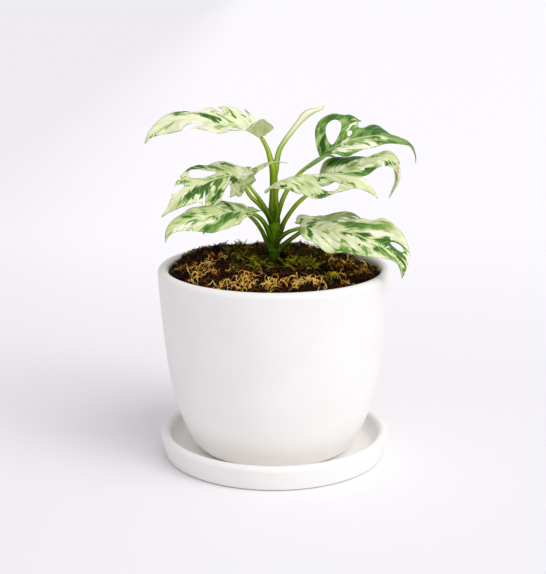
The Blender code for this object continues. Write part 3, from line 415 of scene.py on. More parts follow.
# Tones, as (position, screen colour), and single screen colours
LEAF_TONES = (
    (0.0, (245, 243, 226)), (0.2, (237, 238, 208)), (0.31, (220, 225, 180)), (0.42, (190, 205, 138)),
    (0.52, (144, 175, 94)), (0.64, (96, 141, 58)), (0.76, (60, 105, 33)), (1.0, (42, 86, 18)),
)
LEAF_YELLOW = (246, 236, 150)
VEIN_COLOUR = (214, 226, 164)
RIB_COLOUR = (224, 232, 172)
MARGIN_COLOUR = (98, 118, 24)
DRIED_COLOUR = (142, 88, 34)
# The underside's own paler colour, lifted further as painted light let through the blade
UNDERSIDE_PALE_AND_LIT = (212, 220, 160)
STALK_TONES = ((0.15, (38, 52, 0)), (0.45, (76, 110, 2)), (0.65, (126, 158, 22)), (0.85, (172, 194, 62)))
STEM_TONES = (
    (0.3, (36, 60, 0)), (0.5, (50, 92, 0)), (0.65, (54, 92, 0)), (0.8, (68, 102, 0)),
    (0.95, (100, 140, 4)),
)
SCAR_COLOUR = (92, 84, 20)
NEW_LEAF_TONES = (
    (0.0, (92, 128, 20)), (0.25, (134, 166, 44)), (0.4, (184, 202, 104)), (0.58, (226, 230, 176)),
    (0.8, (246, 244, 220)),
)
GLAZE_TONES = ((0.3, (236, 234, 232)), (0.7, (240, 239, 237)))
# Painted bounce light: the lighter, warmer glaze on the pot's foot and in the saucer
GLAZE_BOUNCE_LIGHT = (252, 249, 246)
DOT_COLOUR = (196, 190, 184)
SOIL_TONES = ((0.3, (22, 12, 6)), (0.7, (64, 46, 32)))
BROWN_MAT_TONES = ((0.35, (10, 3, 0)), (0.5, (22, 9, 2)), (0.64, (46, 25, 8)), (0.8, (84, 50, 20)))
GREEN_MAT_TONES = ((0.35, (12, 7, 0)), (0.5, (26, 20, 1)), (0.64, (50, 43, 4)), (0.8, (80, 76, 10)))
DARK_TONES = ((0.0, (12, 4, 0)), (0.35, (36, 16, 3)), (0.65, (88, 46, 14)), (1.0, (160, 96, 38)))
GOLD_TONES = ((0.0, (50, 20, 0)), (0.3, (120, 60, 8)), (0.5, (206, 132, 36)), (0.8, (252, 214, 112)))
GREEN_TONES = ((0.0, (20, 15, 0)), (0.35, (56, 50, 0)), (0.62, (118, 116, 0)), (0.95, (206, 206, 36)))

# Skins as (roughness, specular), and their relief as (depth in metres, strength)
LEAF_SKIN = (0.46, 0.24)
STALK_SKIN = (0.5, 0.08)
NEW_LEAF_SKIN = (0.42, 0.3)
GLAZE_SKIN = (0.5, 0.4)
CRUMB_SKIN = (0.95, 0.1)
THREAD_SKIN = (0.75, 0.15)
FLOOR_SKIN = (0.9, 0.1)
LEAF_BUMP = (0.00022, 0.7)
STALK_BUMP = (0.00012, 0.6)
STEM_BUMP = (0.00015, 0.6)
GLAZE_BUMP = (0.00018, 0.5)
CRUMB_BUMP = (0.0007, 0.9)
THREAD_BUMP = (0.0001, 0.5)

# Noise as (scale or a scale for each axis, detail, roughness, distortion)
LEAF_STREAKS = ((0.34, 0.1, 1.0), 4.0, 0.6, 0.5)
LEAF_FLECKS = ((1.1, 0.3, 1.0), 3.0, 0.6, 0.4)
LEAF_GRAIN = ((2.6, 1.5, 1.0), 2.0, 0.5)
LEAF_FIBRE = ((3.4, 0.35, 1.0), 2.0)
MARGIN_PATCHES = ((0.16, 0.16, 1.0), 2.0)
STALK_STREAKS = ((1.1, 1.1, 0.14), 3.0)
STALK_BLOTCHES = ((0.35, 0.35, 0.22), 2.0)
STEM_STREAKS = ((0.9, 0.9, 0.12), 3.0)
NEW_LEAF_STRIPES = ((0.9, 0.25, 1.0), 3.0, 0.55, 0.3)
GLAZE_CLOUDS = (28.0, 3.0)
GLAZE_GRAIN = (900.0, 2.0)
GLAZE_SWELL = (60.0, 2.0)
GLAZE_DOTS = (420.0, 1.0)
CRUMB_PATCHES = (260.0, 5.0, 0.65)
CRUMB_SWELL = (70.0, 3.0)
CRUMB_GRAIN = (900.0, 4.0, 0.7)
THREAD_GRAIN = (1400.0, 2.0)

# How much each noise or value counts in a tone or a relief, levels that tones start from, and shares of tints
LEAF_NOISE_WEIGHTS = (0.62, 0.5, 0.1)
LEAF_BUMP_WEIGHTS = (0.6, 0.4)
# The last weight of the stalk's tone, and the second of the stem's and the rolled leaf's, darken them where
# they turn away from view: painted shade at their sides
STALK_WEIGHTS = (0.35, 0.5, 0.35, -0.45)
STEM_WEIGHTS = (0.45, -0.3)
NEW_LEAF_WEIGHTS = (0.9, -0.7)
GLAZE_BUMP_WEIGHTS = (1.0, 0.25)
CRUMB_WEIGHTS = (0.75, 0.35)
THREAD_WEIGHTS = (0.88, 0.1, 0.3)
STEM_LEVEL = -0.125
THREAD_LEVEL = -0.15
YELLOW_SHARE = 0.35
UNDERSIDE_SHARE = 0.36

# Lines as (full within, gone beyond, share), and other spans as (from, to, first value, last value)
VEIN_LINE = (0.0, 0.06, 0.3)
RIB_LINE = (0.25, 1.0, 0.75)
MARGIN_LINE = (0.1, 0.7)
SCAR_LINE = (0.0, 0.012, 0.75)
VEIN_FADE = (0.4, 3.0)
MARGIN_PARTS = (0.42, 0.58, 0.0, 0.7)
DRY_FLECKS = (0.4, 0.55, 0.35, 1.0)
SCAR_FLECKS = (0.35, 0.65, 0.4, 1.0)
DOT_SPAN = (0.76, 0.8, 0.0, 0.2)
LEAF_GLOSS = (0.2, 0.8, 0.54, 0.4)
STALK_GLOSS = (0.3, 0.7, 0.4, 0.54)
GLAZE_GLOSS = (0.3, 0.7, 0.44, 0.54)
NEW_LEAF_RISE = (0.3, 0.67, -0.07, 0.35)

# Light let through the leaf's skin: its share, its red, green and blue reach, and their scale in metres
LEAF_GLOW = 0.15
LEAF_GLOW_RADII = (0.8, 1.0, 0.35)
LEAF_GLOW_REACH = 0.001

# Heights and reach, in metres, over which the stalks get lighter as their painted shade lifts, by two levels,
# and the glaze's painted bounce light, lighter and warmer, fades
STALK_SHADE_RISE = (0.145, 0.185, -0.08, 0.17)
BOUNCE_LIGHT_RISE = (0.008, 0.05)
BOUNCE_LIGHT_REACH = (0.0715, 0.0745)

# Studio: painted shade on the floor, which darkens softly towards the left and towards the camera, over these
# metres
FLOOR_HALF = 60.0
FLOOR_COLOUR = (250, 248, 252)
FLOOR_SHADE = (236, 234, 238)
FLOOR_SHADE_FALL = (0.13, 0.55)
FLOOR_NEAR_SHIFT = 0.22
FLOOR_NEAR_SHADE = (242, 240, 243)
FLOOR_NEAR_REACH = (0.1, 0.8)
WORLD_COLOUR = (1.0, 0.995, 1.01)
WORLD_STRENGTH = 0.65
BACKDROP_COLOUR = (242, 240, 244)
LAMPS = (
    ("key", 1.2, 50.0, (0.68, -0.52, 1.05)),
    ("low_key", 0.42, 18.0, (0.85, -0.6, 0.6)),
    ("fill", 0.4, 70.0, (0.2, -1.0, 0.05)),
)

# One half of a blade's outline, from the notch at its stalk round the basal lobe to the tip,
# as (share of the midrib's length, share of the half width)
HALF_OUTLINE = (
    (0.0, 0.0), (-0.03, 0.13), (-0.09, 0.27), (-0.12, 0.5), (-0.08, 0.77), (0.03, 0.94),
    (0.18, 1.0), (0.34, 0.97), (0.5, 0.85), (0.66, 0.63), (0.8, 0.36), (0.9, 0.16), (0.97, 0.05),
)

# Main stem, as (height, radius), with its node rings
STEM_PROFILE = (
    (SOIL_HOLE_BOTTOM + GAP, 3.0), (128.0, 3.4), (143.0, 3.5), (144.4, 4.0), (146.0, 3.5), (155.0, 3.7),
    (159.0, 4.5), (161.5, 4.1), (168.0, 3.8), (171.5, 3.4),
)

# Each leaf: its stalk and midrib as points in millimetres, the greatest half widths to the
# left and right of the midrib, and the angle of each half above the level, in degrees, as
# (share of length, left, right). Windows are (side, share, reach, length, width, turn) and
# slits are (side, share, depth, mouth), with side 1 on the left and -1 on the right. Each
# half has its own basal lobe size, taper (over 1 is slimmer towards the tip) and sweep
# (how far its margin is shifted towards the tip, as a share of the half width).
LEAVES = {
    "top_left": {
        "stalk": ((-0.5, 0, 172.2), (-0.5, 0, 186), (-0.9, 0, 200), (-2.8, 0, 207.5), (-4.8, -1, 214.5),
            (-8.8, -3.8, 222.6)),
        "stalk_radii": (3.2, 2.8, 2.6, 2.0, 1.6, 1.15),
        "rib": ((-9, -4, 222.9), (-18.3, -6, 228.4), (-27.5, -8, 230.7), (-39.3, -10, 232.6),
            (-51, -12, 235), (-62, -14, 236), (-72.5, -16, 231.7), (-81, -18, 226.4),
            (-85.4, -18, 220.4)),
        "half_widths": (19, 18),
        "angles": ((-0.1, 40, 8), (0.08, 40, 26), (0.18, -4, 40), (0.28, -4, 42), (0.4, -12, 26),
            (0.55, -18, 12), (0.67, -32, 11), (0.84, -48, 24)),
        "windows": ((1, 0.49, 0.62, 18, 5.8, 10), (1, 0.15, 0.78, 9, 3.4, 8)),
        "slits": ((-1, 0.06, 0.4, 5), (-1, 0.25, 0.5, 4), (1, 0.05, 0.6, 5)),
        "lobe": (0.2, 0.4),
        "taper": (0.85, 0.8),
    },
    "top_right": {
        "stalk": ((0, 1.5, 160), (2.4, 4, 169), (7.2, 8, 182), (16.8, 12, 195.4), (30.8, 13.9, 205.9)),
        "stalk_radii": (2.0, 1.8, 1.6, 1.4, 1.15),
        "rib": ((31.1, 14, 206.1), (37.3, 14.5, 210.8), (44.8, 15, 215.2), (53, 15.5, 218.2),
            (62.5, 16, 220.2), (72, 16, 220.9), (81.6, 16, 218.5), (88.5, 16, 216.4), (93.4, 16, 213.7),
            (96.4, 15, 208), (96.9, 14, 202)),
        "half_widths": (25, 16),
        "angles": ((-0.1, 42, 2), (0.04, 50, -4), (0.12, 56, -15), (0.24, 54, -26), (0.34, 40, -28),
            (0.46, 16, -26), (0.7, -4, -18), (0.9, -8, -8)),
        "windows": ((1, 0.12, 0.42, 18, 8.5, 62), (1, 0.27, 0.22, 5, 3.2, 60)),
        "slits": ((1, 0.33, 0.4, 13), (-1, 0.02, 0.6, 4)),
        "lobe": (0.15, 1.7),
        "taper": (0.85, 1.0),
        "sweep": (0.5, 0.0),
    },
    "mid_right_front": {
        "stalk": ((1, -2, 165.5), (1.9, -5.2, 172.5), (1.2, -9, 180), (1.4, -12.3, 187),
            (3.6, -15, 194.2)),
        "stalk_radii": (2.0, 1.7, 1.5, 1.3, 1.1),
        "rib": ((3.8, -15.2, 194.6), (9.6, -18, 197.2), (16.8, -21, 199.2), (26, -25, 200),
            (35, -30, 200.8), (44.4, -35, 202), (53.3, -39, 201), (59.8, -42, 196.9), (66.6, -45, 188.7)),
        "half_widths": (15, 18.5),
        "angles": ((-0.1, -4, -22), (0.03, -10, -12), (0.12, -12, -14), (0.28, -12, -34),
            (0.45, -10, -44), (0.62, -10, -46), (0.82, -10, -38)),
        "windows": ((-1, 0.45, 0.52, 13.5, 7.5, 6),),
        "slits": ((1, 0.4, 0.45, 5),),
        "lobe": (0.8, 0.95),
        "taper": (1.0, 0.78),
    },
    "mid_right": {
        "stalk": ((0.5, 0, 152), (3.8, 1, 156.5), (7.2, 2, 165), (14.7, 3, 175.5), (22.2, 4, 182.2),
            (31.9, 4.3, 191)),
        "stalk_radii": (2.0, 1.9, 1.6, 1.5, 1.3, 1.1),
        "rib": ((32.2, 4.3, 191.3), (40.5, 3, 196.5), (51.5, 1.5, 201), (60.5, 0, 205.5), (70, -2, 208.5),
            (76, -3.5, 207.8), (80, -5, 203), (81.4, -7, 195), (79.3, -8, 188), (77, -8, 182)),
        "half_widths": (16, 14),
        "angles": ((-0.1, 0, 0), (0.12, 48, -18), (0.3, 20, -24), (0.45, 2, -42), (0.6, 10, -30),
            (0.8, 10, 10)),
        "windows": ((1, 0.66, 0.5, 5, 2.6, 30),),
        "slits": ((-1, 0.56, 0.3, 6), (1, 0.45, 0.6, 3)),
        "lobe": (0.3, 0.8),
    },
    "low_right_front": {
        "stalk": ((0.9, -2, 148), (1.9, -4.8, 151.6), (4.6, -9, 155.8), (9.7, -13.8, 160.4),
            (17.4, -18, 163.8)),
        "stalk_radii": (2.0, 1.9, 1.7, 1.4, 1.1),
        "rib": ((17.8, -18.2, 163.9), (27, -22, 164.1), (40, -27, 164.3), (51, -32, 163.3),
            (60, -36, 160.1), (69, -39, 156.1), (76.8, -41, 150.9), (81.6, -43, 145), (83.5, -44, 135.4)),
        "half_widths": (21, 20),
        "angles": ((-0.1, 18, 0), (0.06, 10, -6), (0.15, 8, -16), (0.32, 13, -35), (0.47, 22, -36),
            (0.6, 38, -31), (0.75, 52, -26), (0.9, 30, -10)),
        "windows": ((1, 0.73, 0.3, 9, 3.6, 10),),
        "slits": ((-1, 0.62, 0.55, 4), (1, 0.12, 0.7, 3.5)),
        "lobe": (0.7, 0.05),
        "taper": (0.52, 1.0),
        "sweep": (0.0, 0.38),
    },
    "low_right_back": {
        "stalk": ((0.8, 1.5, 139.8), (3.8, 7.5, 144.4), (10, 13.5, 148.5), (18, 20, 153),
            (25.9, 26.8, 157.5)),
        "stalk_radii": (1.9, 1.8, 1.6, 1.4, 1.1),
        "rib": ((26.2, 27.1, 157.7), (34, 34, 160.4), (42.5, 42, 160.6), (50, 50, 158.2), (56, 58, 153),
            (59.5, 64, 146.5), (60.5, 67, 140)),
        "half_widths": (17, 17),
        "angles": ((-0.1, 0, 16), (0.1, -12, 16), (0.4, -20, 12), (0.7, -24, -4), (0.9, -10, -10)),
        "windows": ((1, 0.35, 0.5, 8, 3.0, 60), (-1, 0.5, 0.5, 8, 3.0, 60)),
        "slits": ((1, 0.5, 0.5, 4), (-1, 0.25, 0.55, 4)),
        "lobe": (0.9, 0.9),
    },
    "mid_left": {
        "stalk": ((-1, 1, 161), (-4.5, 1.5, 169), (-10, 2, 175.5), (-16.5, 2, 182), (-20.4, 1.6, 189.5),
            (-21.3, 1.1, 196)),
        "stalk_radii": (2.0, 1.8, 1.5, 1.4, 1.25, 1.1),
        "rib": ((-21.9, 1, 196.3), (-28.6, -1, 196.6), (-35.3, -3, 195.6), (-43.3, -5, 193.6),
            (-51.2, -8, 191.8), (-57.1, -11, 190), (-61.6, -14, 186.4), (-65.8, -17, 180.4),
            (-75, -20, 171.6)),
        "half_widths": (18, 19),
        "angles": ((-0.1, -6, 10), (0.08, -30, 18), (0.28, -48, 26), (0.42, -54, 42), (0.57, -58, 68),
            (0.7, -52, 72), (0.82, -26, 60)),
        "windows": ((-1, 0.33, 0.36, 19, 7, 8), (-1, 0.63, 0.24, 9, 4.2, 20)),
        "slits": ((1, 0.1, 0.45, 7), (1, 0.38, 0.35, 3), (1, 0.55, 0.4, 3), (-1, 0.53, 0.4, 8)),
        "lobe": (0.5, 0.9),
        "taper": (0.85, 1.55),
        "sweep": (0.0, -0.3),
    },
    "small_front": {
        "stalk": ((-1.8, -2.2, 165), (-4.6, -7, 172.5), (-8.6, -12, 180), (-13.3, -17, 187.5),
            (-17.6, -19.8, 193.6)),
        "stalk_radii": (1.9, 1.6, 1.4, 1.2, 1.0),
        "rib": ((-18, -20, 194.2), (-18, -23, 199), (-15.2, -26.5, 204.2), (-10.7, -30, 207.9),
            (-4.2, -33.5, 210.6), (2.3, -36.5, 211.7), (8.6, -39, 211)),
        "half_widths": (5.5, 12),
        "angles": ((-0.1, -20, 12), (0.1, -40, 4), (0.3, -55, -34), (0.5, -60, -56), (0.9, -60, -60)),
        "slits": ((-1, 0.04, 0.5, 4),),
        "lobe": (0.8, 1.7),
        "taper": (2.2, 2.3),
    },
    "low_left_front": {
        "stalk": ((-1.8, -1.6, 151.5), (-4.2, -3.8, 158.5), (-7.2, -7.3, 165.4), (-11.8, -11.5, 170.9),
            (-17.9, -15.2, 174.3)),
        "stalk_radii": (2.0, 1.8, 1.6, 1.4, 1.1),
        "rib": ((-18.3, -15.4, 174.3), (-27, -18, 175), (-36, -21.5, 174.2), (-46, -25.5, 173),
            (-55.5, -29.5, 171.5), (-64, -33.5, 168.5), (-69.5, -36, 164), (-71.6, -37, 158)),
        "half_widths": (18, 17),
        "angles": ((-0.1, 2, 10), (0.1, -4, 12), (0.2, -14, 14), (0.35, -28, 16), (0.5, -32, 14),
            (0.65, -36, 10), (0.85, -30, 14)),
        "windows": ((-1, 0.14, 0.28, 8, 3, 24),),
        "slits": ((1, 0.6, 0.45, 4), (-1, 0.5, 0.6, 3)),
        "lobe": (0.12, 0.1),
    },
    "low_left_back": {
        "stalk": ((-1, 1.5, 142), (-4.5, 4.5, 148), (-8.5, 8.5, 156), (-13.5, 13, 162.5),
            (-19.6, 18.7, 166.7)),
        "stalk_radii": (1.9, 1.8, 1.5, 1.4, 1.1),
        "rib": ((-19.9, 19, 166.8), (-27, 25.5, 168.5), (-34.5, 32.5, 167.5), (-41.5, 40, 164),
            (-47, 47, 158.5), (-50.5, 53, 151), (-51.5, 56, 144)),
        "half_widths": (16, 17),
        "angles": ((-0.1, 10, 2), (0.1, 6, -8), (0.4, 2, -18), (0.7, -12, -20), (0.9, -10, -10)),
        "windows": ((-1, 0.3, 0.5, 8, 3.0, 60), (1, 0.45, 0.5, 8, 3.0, 60)),
        "slits": ((-1, 0.5, 0.5, 4), (1, 0.3, 0.5, 4)),
        "lobe": (0.6, 0.6),
    },
}

# Rolled new leaf, as points with the radius of its roll
NEW_LEAF = (
    (-0.4, 0.4, 190, 0.9), (0.1, 0.7, 195, 1.55), (0.9, 0.9, 200, 1.85), (1.7, 1, 207.5, 1.9),
    (3.4, 1.6, 214, 1.75), (7.4, 2, 220.5, 1.7), (12, 3, 226.5, 1.8), (16, 3.4, 231.5, 2.0),
    (20.3, 4, 236.5, 2.6), (24.6, 4, 239, 2.1), (29, 4, 240.2, 1.2), (32, 4, 241.3, 0.8),
    (33.4, 4, 243, 0.45),
)


def unit(vectors):
    """Vectors scaled to a length of one."""
    return vectors / np.maximum(np.linalg.norm(vectors, axis=-1, keepdims=True), TINY)


def smoothstep(low, high, value):
    """0 below low, 1 above high, and a smooth turn between them."""
    t = np.clip((value - low) / (high - low), 0.0, 1.0)
    return t * t * (3.0 - 2.0 * t)


def smooth_curve(points, steps):
    """Points on a Catmull-Rom curve through the given points, ends included."""
    points = np.asarray(points, float)
    last = len(points) - 1
    curve = []
    for index in range(last):
        before = points[max(index - 1, 0)]
        start = points[index]
        end = points[index + 1]
        after = points[min(index + 2, last)]
        for step in range(steps):
            t = step / steps
            curve.append(0.5 * (
                2.0 * start + (end - before) * t
                + (2.0 * before - 5.0 * start + 4.0 * end - after) * t ** 2
                + (3.0 * start - before - 3.0 * end + after) * t ** 3))
    curve.append(points[last])
    return np.array(curve)


def walked(curve):
    """The distance walked along a curve to each of its points."""
    return np.concatenate([[0.0], np.cumsum(np.linalg.norm(np.diff(curve, axis=0), axis=1))])


def evenly(curve, steps):
    """A curve drawn again in this number of even steps, ends included."""
    reach = walked(curve)
    even = np.linspace(0.0, reach[-1], steps + 1)
    return np.stack([np.interp(even, reach, curve[:, axis]) for axis in range(curve.shape[1])], axis=1)


def resample(curve, spacing):
    """Points at about an even spacing along a curve, ends included."""
    return evenly(curve, max(2, round(walked(curve)[-1] / spacing)))


def inside(outline, points):
    """True for each point that lies within the closed outline."""
    x, y = points[:, 0:1], points[:, 1:2]
    ax, ay = outline[:, 0], outline[:, 1]
    bx, by = np.roll(ax, -1), np.roll(ay, -1)
    rise = np.where(by == ay, TINY, by - ay)
    crossed = ((ay > y) != (by > y)) & (x < (bx - ax) * (y - ay) / rise + ax)
    return np.count_nonzero(crossed, axis=1) % 2 == 1


def outline_distance(outline, points):
    """The shortest distance from each point to the closed outline."""
    nearest = np.full(len(points), math.inf)
    for a, way in zip(outline, np.roll(outline, -1, axis=0) - outline):
        t = np.clip(((points - a) @ way) / max(way @ way, TINY), 0.0, 1.0)
        nearest = np.minimum(nearest, np.linalg.norm(points - a - t[:, None] * way, axis=1))
    return nearest


def full_turn(steps):
    """Angles all the way round in even steps."""
    return np.linspace(0.0, 2.0 * math.pi, steps, endpoint=False)


def ring_faces(rings):
    """Faces between neighbouring closed rings, each a row of point numbers."""
    after = np.roll(rings, -1, axis=-1)
    corners = [rings[..., :-1, :], after[..., :-1, :], after[..., 1:, :], rings[..., 1:, :]]
    return np.stack(corners, axis=-1).reshape(-1, 4).tolist()


def polar(radius, angle):
    """The x and y of places at these radii and angles."""
    return np.stack([radius * np.cos(angle), radius * np.sin(angle)], axis=-1)


def vertex_normals(points, faces):
    """Each point's normal, from the triangles round it."""
    a, b, c = (points[faces[:, corner]] for corner in range(3))
    across = np.cross(b - a, c - a)
    normals = np.zeros_like(points)
    for corner in range(3):
        np.add.at(normals, faces[:, corner], across)
    return unit(normals)


def placed(name, data):
    """A new object in the scene that holds this data."""
    made = bpy.data.objects.new(name, data)
    bpy.context.scene.collection.objects.link(made)
    return made


def add_piece(name, points, faces, surface, node=None, slot=None, fields=None, sharp=None):
    """One piece of the plant or pot, drawn in millimetres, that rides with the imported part."""
    mesh = bpy.data.meshes.new(name)
    mesh.from_pydata((np.asarray(points) * MM).tolist(), [], faces)
    for key, values in (fields or {}).items():
        kind, entry = ("FLOAT", "value") if np.ndim(values) == 1 else ("FLOAT_VECTOR", "vector")
        field = mesh.attributes.new(key, kind, "POINT")
        field.data.foreach_set(entry, np.asarray(values, np.float32).ravel())
    mesh.shade_smooth()
    if sharp is not None:
        mesh.set_sharp_from_angle(angle=math.radians(sharp))
    mesh.materials.append(surface)
    mesh.validate()
    piece = placed(name, mesh)
    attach(piece, "root")
    if node:
        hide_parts(node)


# Leaf blades

class Midrib:
    """A smooth curve read by its share of length, carried on straight behind its base."""

    def __init__(self, points):
        self.points = smooth_curve(points, RIB_STEPS)
        self.reach = walked(self.points)
        self.length = self.reach[-1]
        heading = self.points[-1] - self.points[0]
        self.across = unit(np.array([-heading[1], heading[0], 0.0]))
        self.start_way = (self.points[1] - self.points[0]) / self.reach[1]

    def at(self, share):
        """The points at these shares of the length."""
        walk = share * self.length
        place = np.stack([np.interp(walk, self.reach, axis) for axis in self.points.T], axis=-1)
        return place + np.minimum(walk, 0.0)[..., None] * self.start_way

    def frame(self, share):
        """The points, the ways to the left and the ways up out of the blade."""
        low = np.maximum(0.0, share - RIB_SPAN)
        high = np.minimum(1.0, np.maximum(share, 0.0) + RIB_SPAN)
        along = unit(self.at(high) - self.at(low))
        left = unit(self.across - along * (along @ self.across)[:, None])
        return self.at(share), left, np.cross(along, left)


def half_outline(leaf, length, side):
    """One side of the flat blade, from the notch to the tip, in millimetres."""
    half = 0 if side > 0 else 1
    width = leaf["half_widths"][half]
    sweep = leaf.get("sweep", NO_SWEEP)[half]
    taper = leaf.get("taper", PLAIN_TAPER)[half]
    points = []
    for share, reach in HALF_OUTLINE:
        along = share * leaf["lobe"][half] if share < 0.0 else share ** taper
        swept = along * length + sweep * reach * width * (1.0 - max(0.0, share))
        points.append((swept, side * reach * width))
    points.append((length, side * TIP_HALF_WIDTH))
    return resample(smooth_curve(points, OUTLINE_STEPS), BLADE_CELL)


def vein_line(leaf, length, side, share, reach):
    """A point of the flat blade on the side vein that leaves the midrib at this share."""
    width = leaf["half_widths"][0 if side > 0 else 1]
    return share * length + reach * width * VEIN_SWEEP, side * reach * width


def slit_outline(leaf, length, slit):
    """A slit that opens through the margin along a side vein."""
    side, share, depth, mouth = slit
    near_edge = []
    far_edge = []
    for step in range(SLIT_STEPS + 1):
        reach = depth + (SLIT_REACH - depth) * (step / SLIT_STEPS) ** SLIT_EASE
        opening = 0.5 * mouth * min(1.0, (reach - depth) / (1.0 - depth)) ** SLIT_FLARE
        x, y = vein_line(leaf, length, side, share, reach)
        near_edge.append((x - opening, y))
        far_edge.append((x + opening, y))
    return np.array(near_edge + far_edge[:0:-1])


def window_outline(leaf, length, window):
    """An oval hole inside one half of the blade."""
    side, share, reach, long_size, wide_size, turn = window
    x, y = vein_line(leaf, length, side, share, reach)
    turn = math.radians(turn) * side
    angle = full_turn(WINDOW_STEPS)
    a = 0.5 * long_size * np.cos(angle)
    b = 0.5 * wide_size * np.sin(angle) * (1.0 + WINDOW_EGG * np.cos(angle))
    return np.stack([x + a * math.cos(turn) - b * math.sin(turn),
                     y + a * math.sin(turn) + b * math.cos(turn)], axis=1)


def on_blade(outlines, points):
    """True for each point within the first outline and outside all the others."""
    within = [inside(outline, points) for outline in outlines]
    return within[0] & ~np.any(within[1:], axis=0)


def edge_distance(outlines, points):
    """Each point's distance from the nearest of the outlines."""
    return np.min([outline_distance(outline, points) for outline in outlines], axis=0)


def flat_blade(leaf, length):
    """The flat blade as points and triangles, and each point's distance from an edge."""
    right = half_outline(leaf, length, -1)
    left = half_outline(leaf, length, 1)
    outlines = [np.concatenate([right, left[:0:-1]])]
    outlines += [slit_outline(leaf, length, slit) for slit in leaf["slits"]]
    outlines += [window_outline(leaf, length, window) for window in leaf.get("windows", ())]

    points = []
    edges = []
    for outline in outlines:
        first = len(points)
        points += outline.tolist()
        edges += [(first + i, first + (i + 1) % len(outline)) for i in range(len(outline))]
    columns = round(length / BLADE_CELL)
    first = len(points)
    points += [(length * (0.5 + i) / columns, 0.0) for i in range(columns - 1)]
    edges += [(i, i + 1) for i in range(first, len(points) - 1)]

    outer_rows = int(max(leaf["half_widths"]) / BLADE_CELL * ROWS_REACH) + 2
    rows = [*FIRST_ROWS, *(FIRST_ROWS[-1] + BLADE_CELL * ROW_STEP * i for i in range(1, outer_rows))]
    grid = np.array([(length * (i + 0.5 * (number % 2)) / columns, side * row)
                     for number, row in enumerate(rows) for side in (1, -1)
                     for i in range(-columns // 4, columns + 1)])
    grid = grid[on_blade(outlines, grid)]
    points += grid[edge_distance(outlines, grid) > 0.5 * BLADE_CELL].tolist()

    flat = [Vector(point) for point in points]
    places, _, faces, _, _, _ = geometry.delaunay_2d_cdt(flat, edges, [], 0, SAME_PLACE)
    places = np.array([(place.x, place.y) for place in places])
    faces = np.array([list(face) for face in faces])
    faces = faces[on_blade(outlines, places[faces].mean(axis=1))]
    places, faces = largest_body(places, faces)
    return places, faces, edge_distance(outlines, places)


def largest_body(places, faces):
    """Keeps only the largest body of linked triangles, with its points numbered again."""
    group = np.arange(len(places))
    changed = True
    while changed:
        lowest = group[faces].min(axis=1)
        before = group.copy()
        for corner in range(3):
            np.minimum.at(group, faces[:, corner], lowest)
        group = group[group]
        changed = not np.array_equal(before, group)
    names, counts = np.unique(group[faces[:, 0]], return_counts=True)
    faces = faces[group[faces[:, 0]] == names[counts.argmax()]]
    used, renumbered = np.unique(faces, return_inverse=True)
    return places[used], renumbered.reshape(faces.shape)


def station_level(stations, column, share):
    """One column of a table of stations, read smoothly at shares of the length."""
    table = np.array(stations)
    starts, values = table[:, 0], table[:, column]
    index = np.clip(np.searchsorted(starts, share, side="left") - 1, 0, len(starts) - 2)
    t = np.clip((share - starts[index]) / (starts[index + 1] - starts[index]), 0.0, 1.0)
    return values[index] + (values[index + 1] - values[index]) * t * t * (3.0 - 2.0 * t)


def blade_points(leaf, rib, flat):
    """Points of the flat blade, carried to where the bent and folded blade holds them."""
    share = flat[:, 0] / rib.length
    out = np.abs(flat[:, 1])
    place, left, up = rib.frame(share)
    near = flat[:, 1] >= 0.0
    reach = out / np.where(near, *leaf["half_widths"])
    angle = np.where(near, *(station_level(leaf["angles"], column, share) for column in (1, 2)))
    lean = np.radians(angle + FOLD_ARCH * (1.0 - reach))
    outward = np.where(near, 1.0, -1.0)[:, None] * left
    waves = WAVES_PER_LEAF * share + np.where(near, 0.0, WAVE_SHIFT)
    wave = MARGIN_WAVE * reach ** 2 * np.sin(2.0 * math.pi * waves + rib.length)
    return place + outward * (out * np.cos(lean))[:, None] + up * (out * np.sin(lean) + wave)[:, None]


def vein_relief(flat, edge, length):
    """How far the upper skin stands up between the side veins, in millimetres."""
    out = np.abs(flat[:, 1])
    veins = math.pi * (flat[:, 0] - VEIN_SWEEP * out) / (length / VEINS_PER_BLADE)
    puff = VEIN_RELIEF * np.abs(np.sin(veins)) ** VEIN_SHARPNESS
    fine = FINE_RELIEF * np.abs(np.sin(veins * FINE_VEINS))
    fade = smoothstep(*RIB_FADE, out) * smoothstep(*EDGE_FADE, edge)
    return fade * (puff + fine) - GROOVE_DEPTH * np.exp(-(out / GROOVE_WIDTH) ** 2)


def wander(places, size, seed):
    """A smooth random value at each flat place, the same for near neighbours."""
    return np.array([noise.noise(Vector((x / size, y / size, seed))) for x, y in places])


def streak_sweep(flat, length):
    """How far the streaks run forward for each millimetre that they run outward."""
    return STREAK_SWEEP[0] + STREAK_SWEEP[1] * flat[:, 0] / length


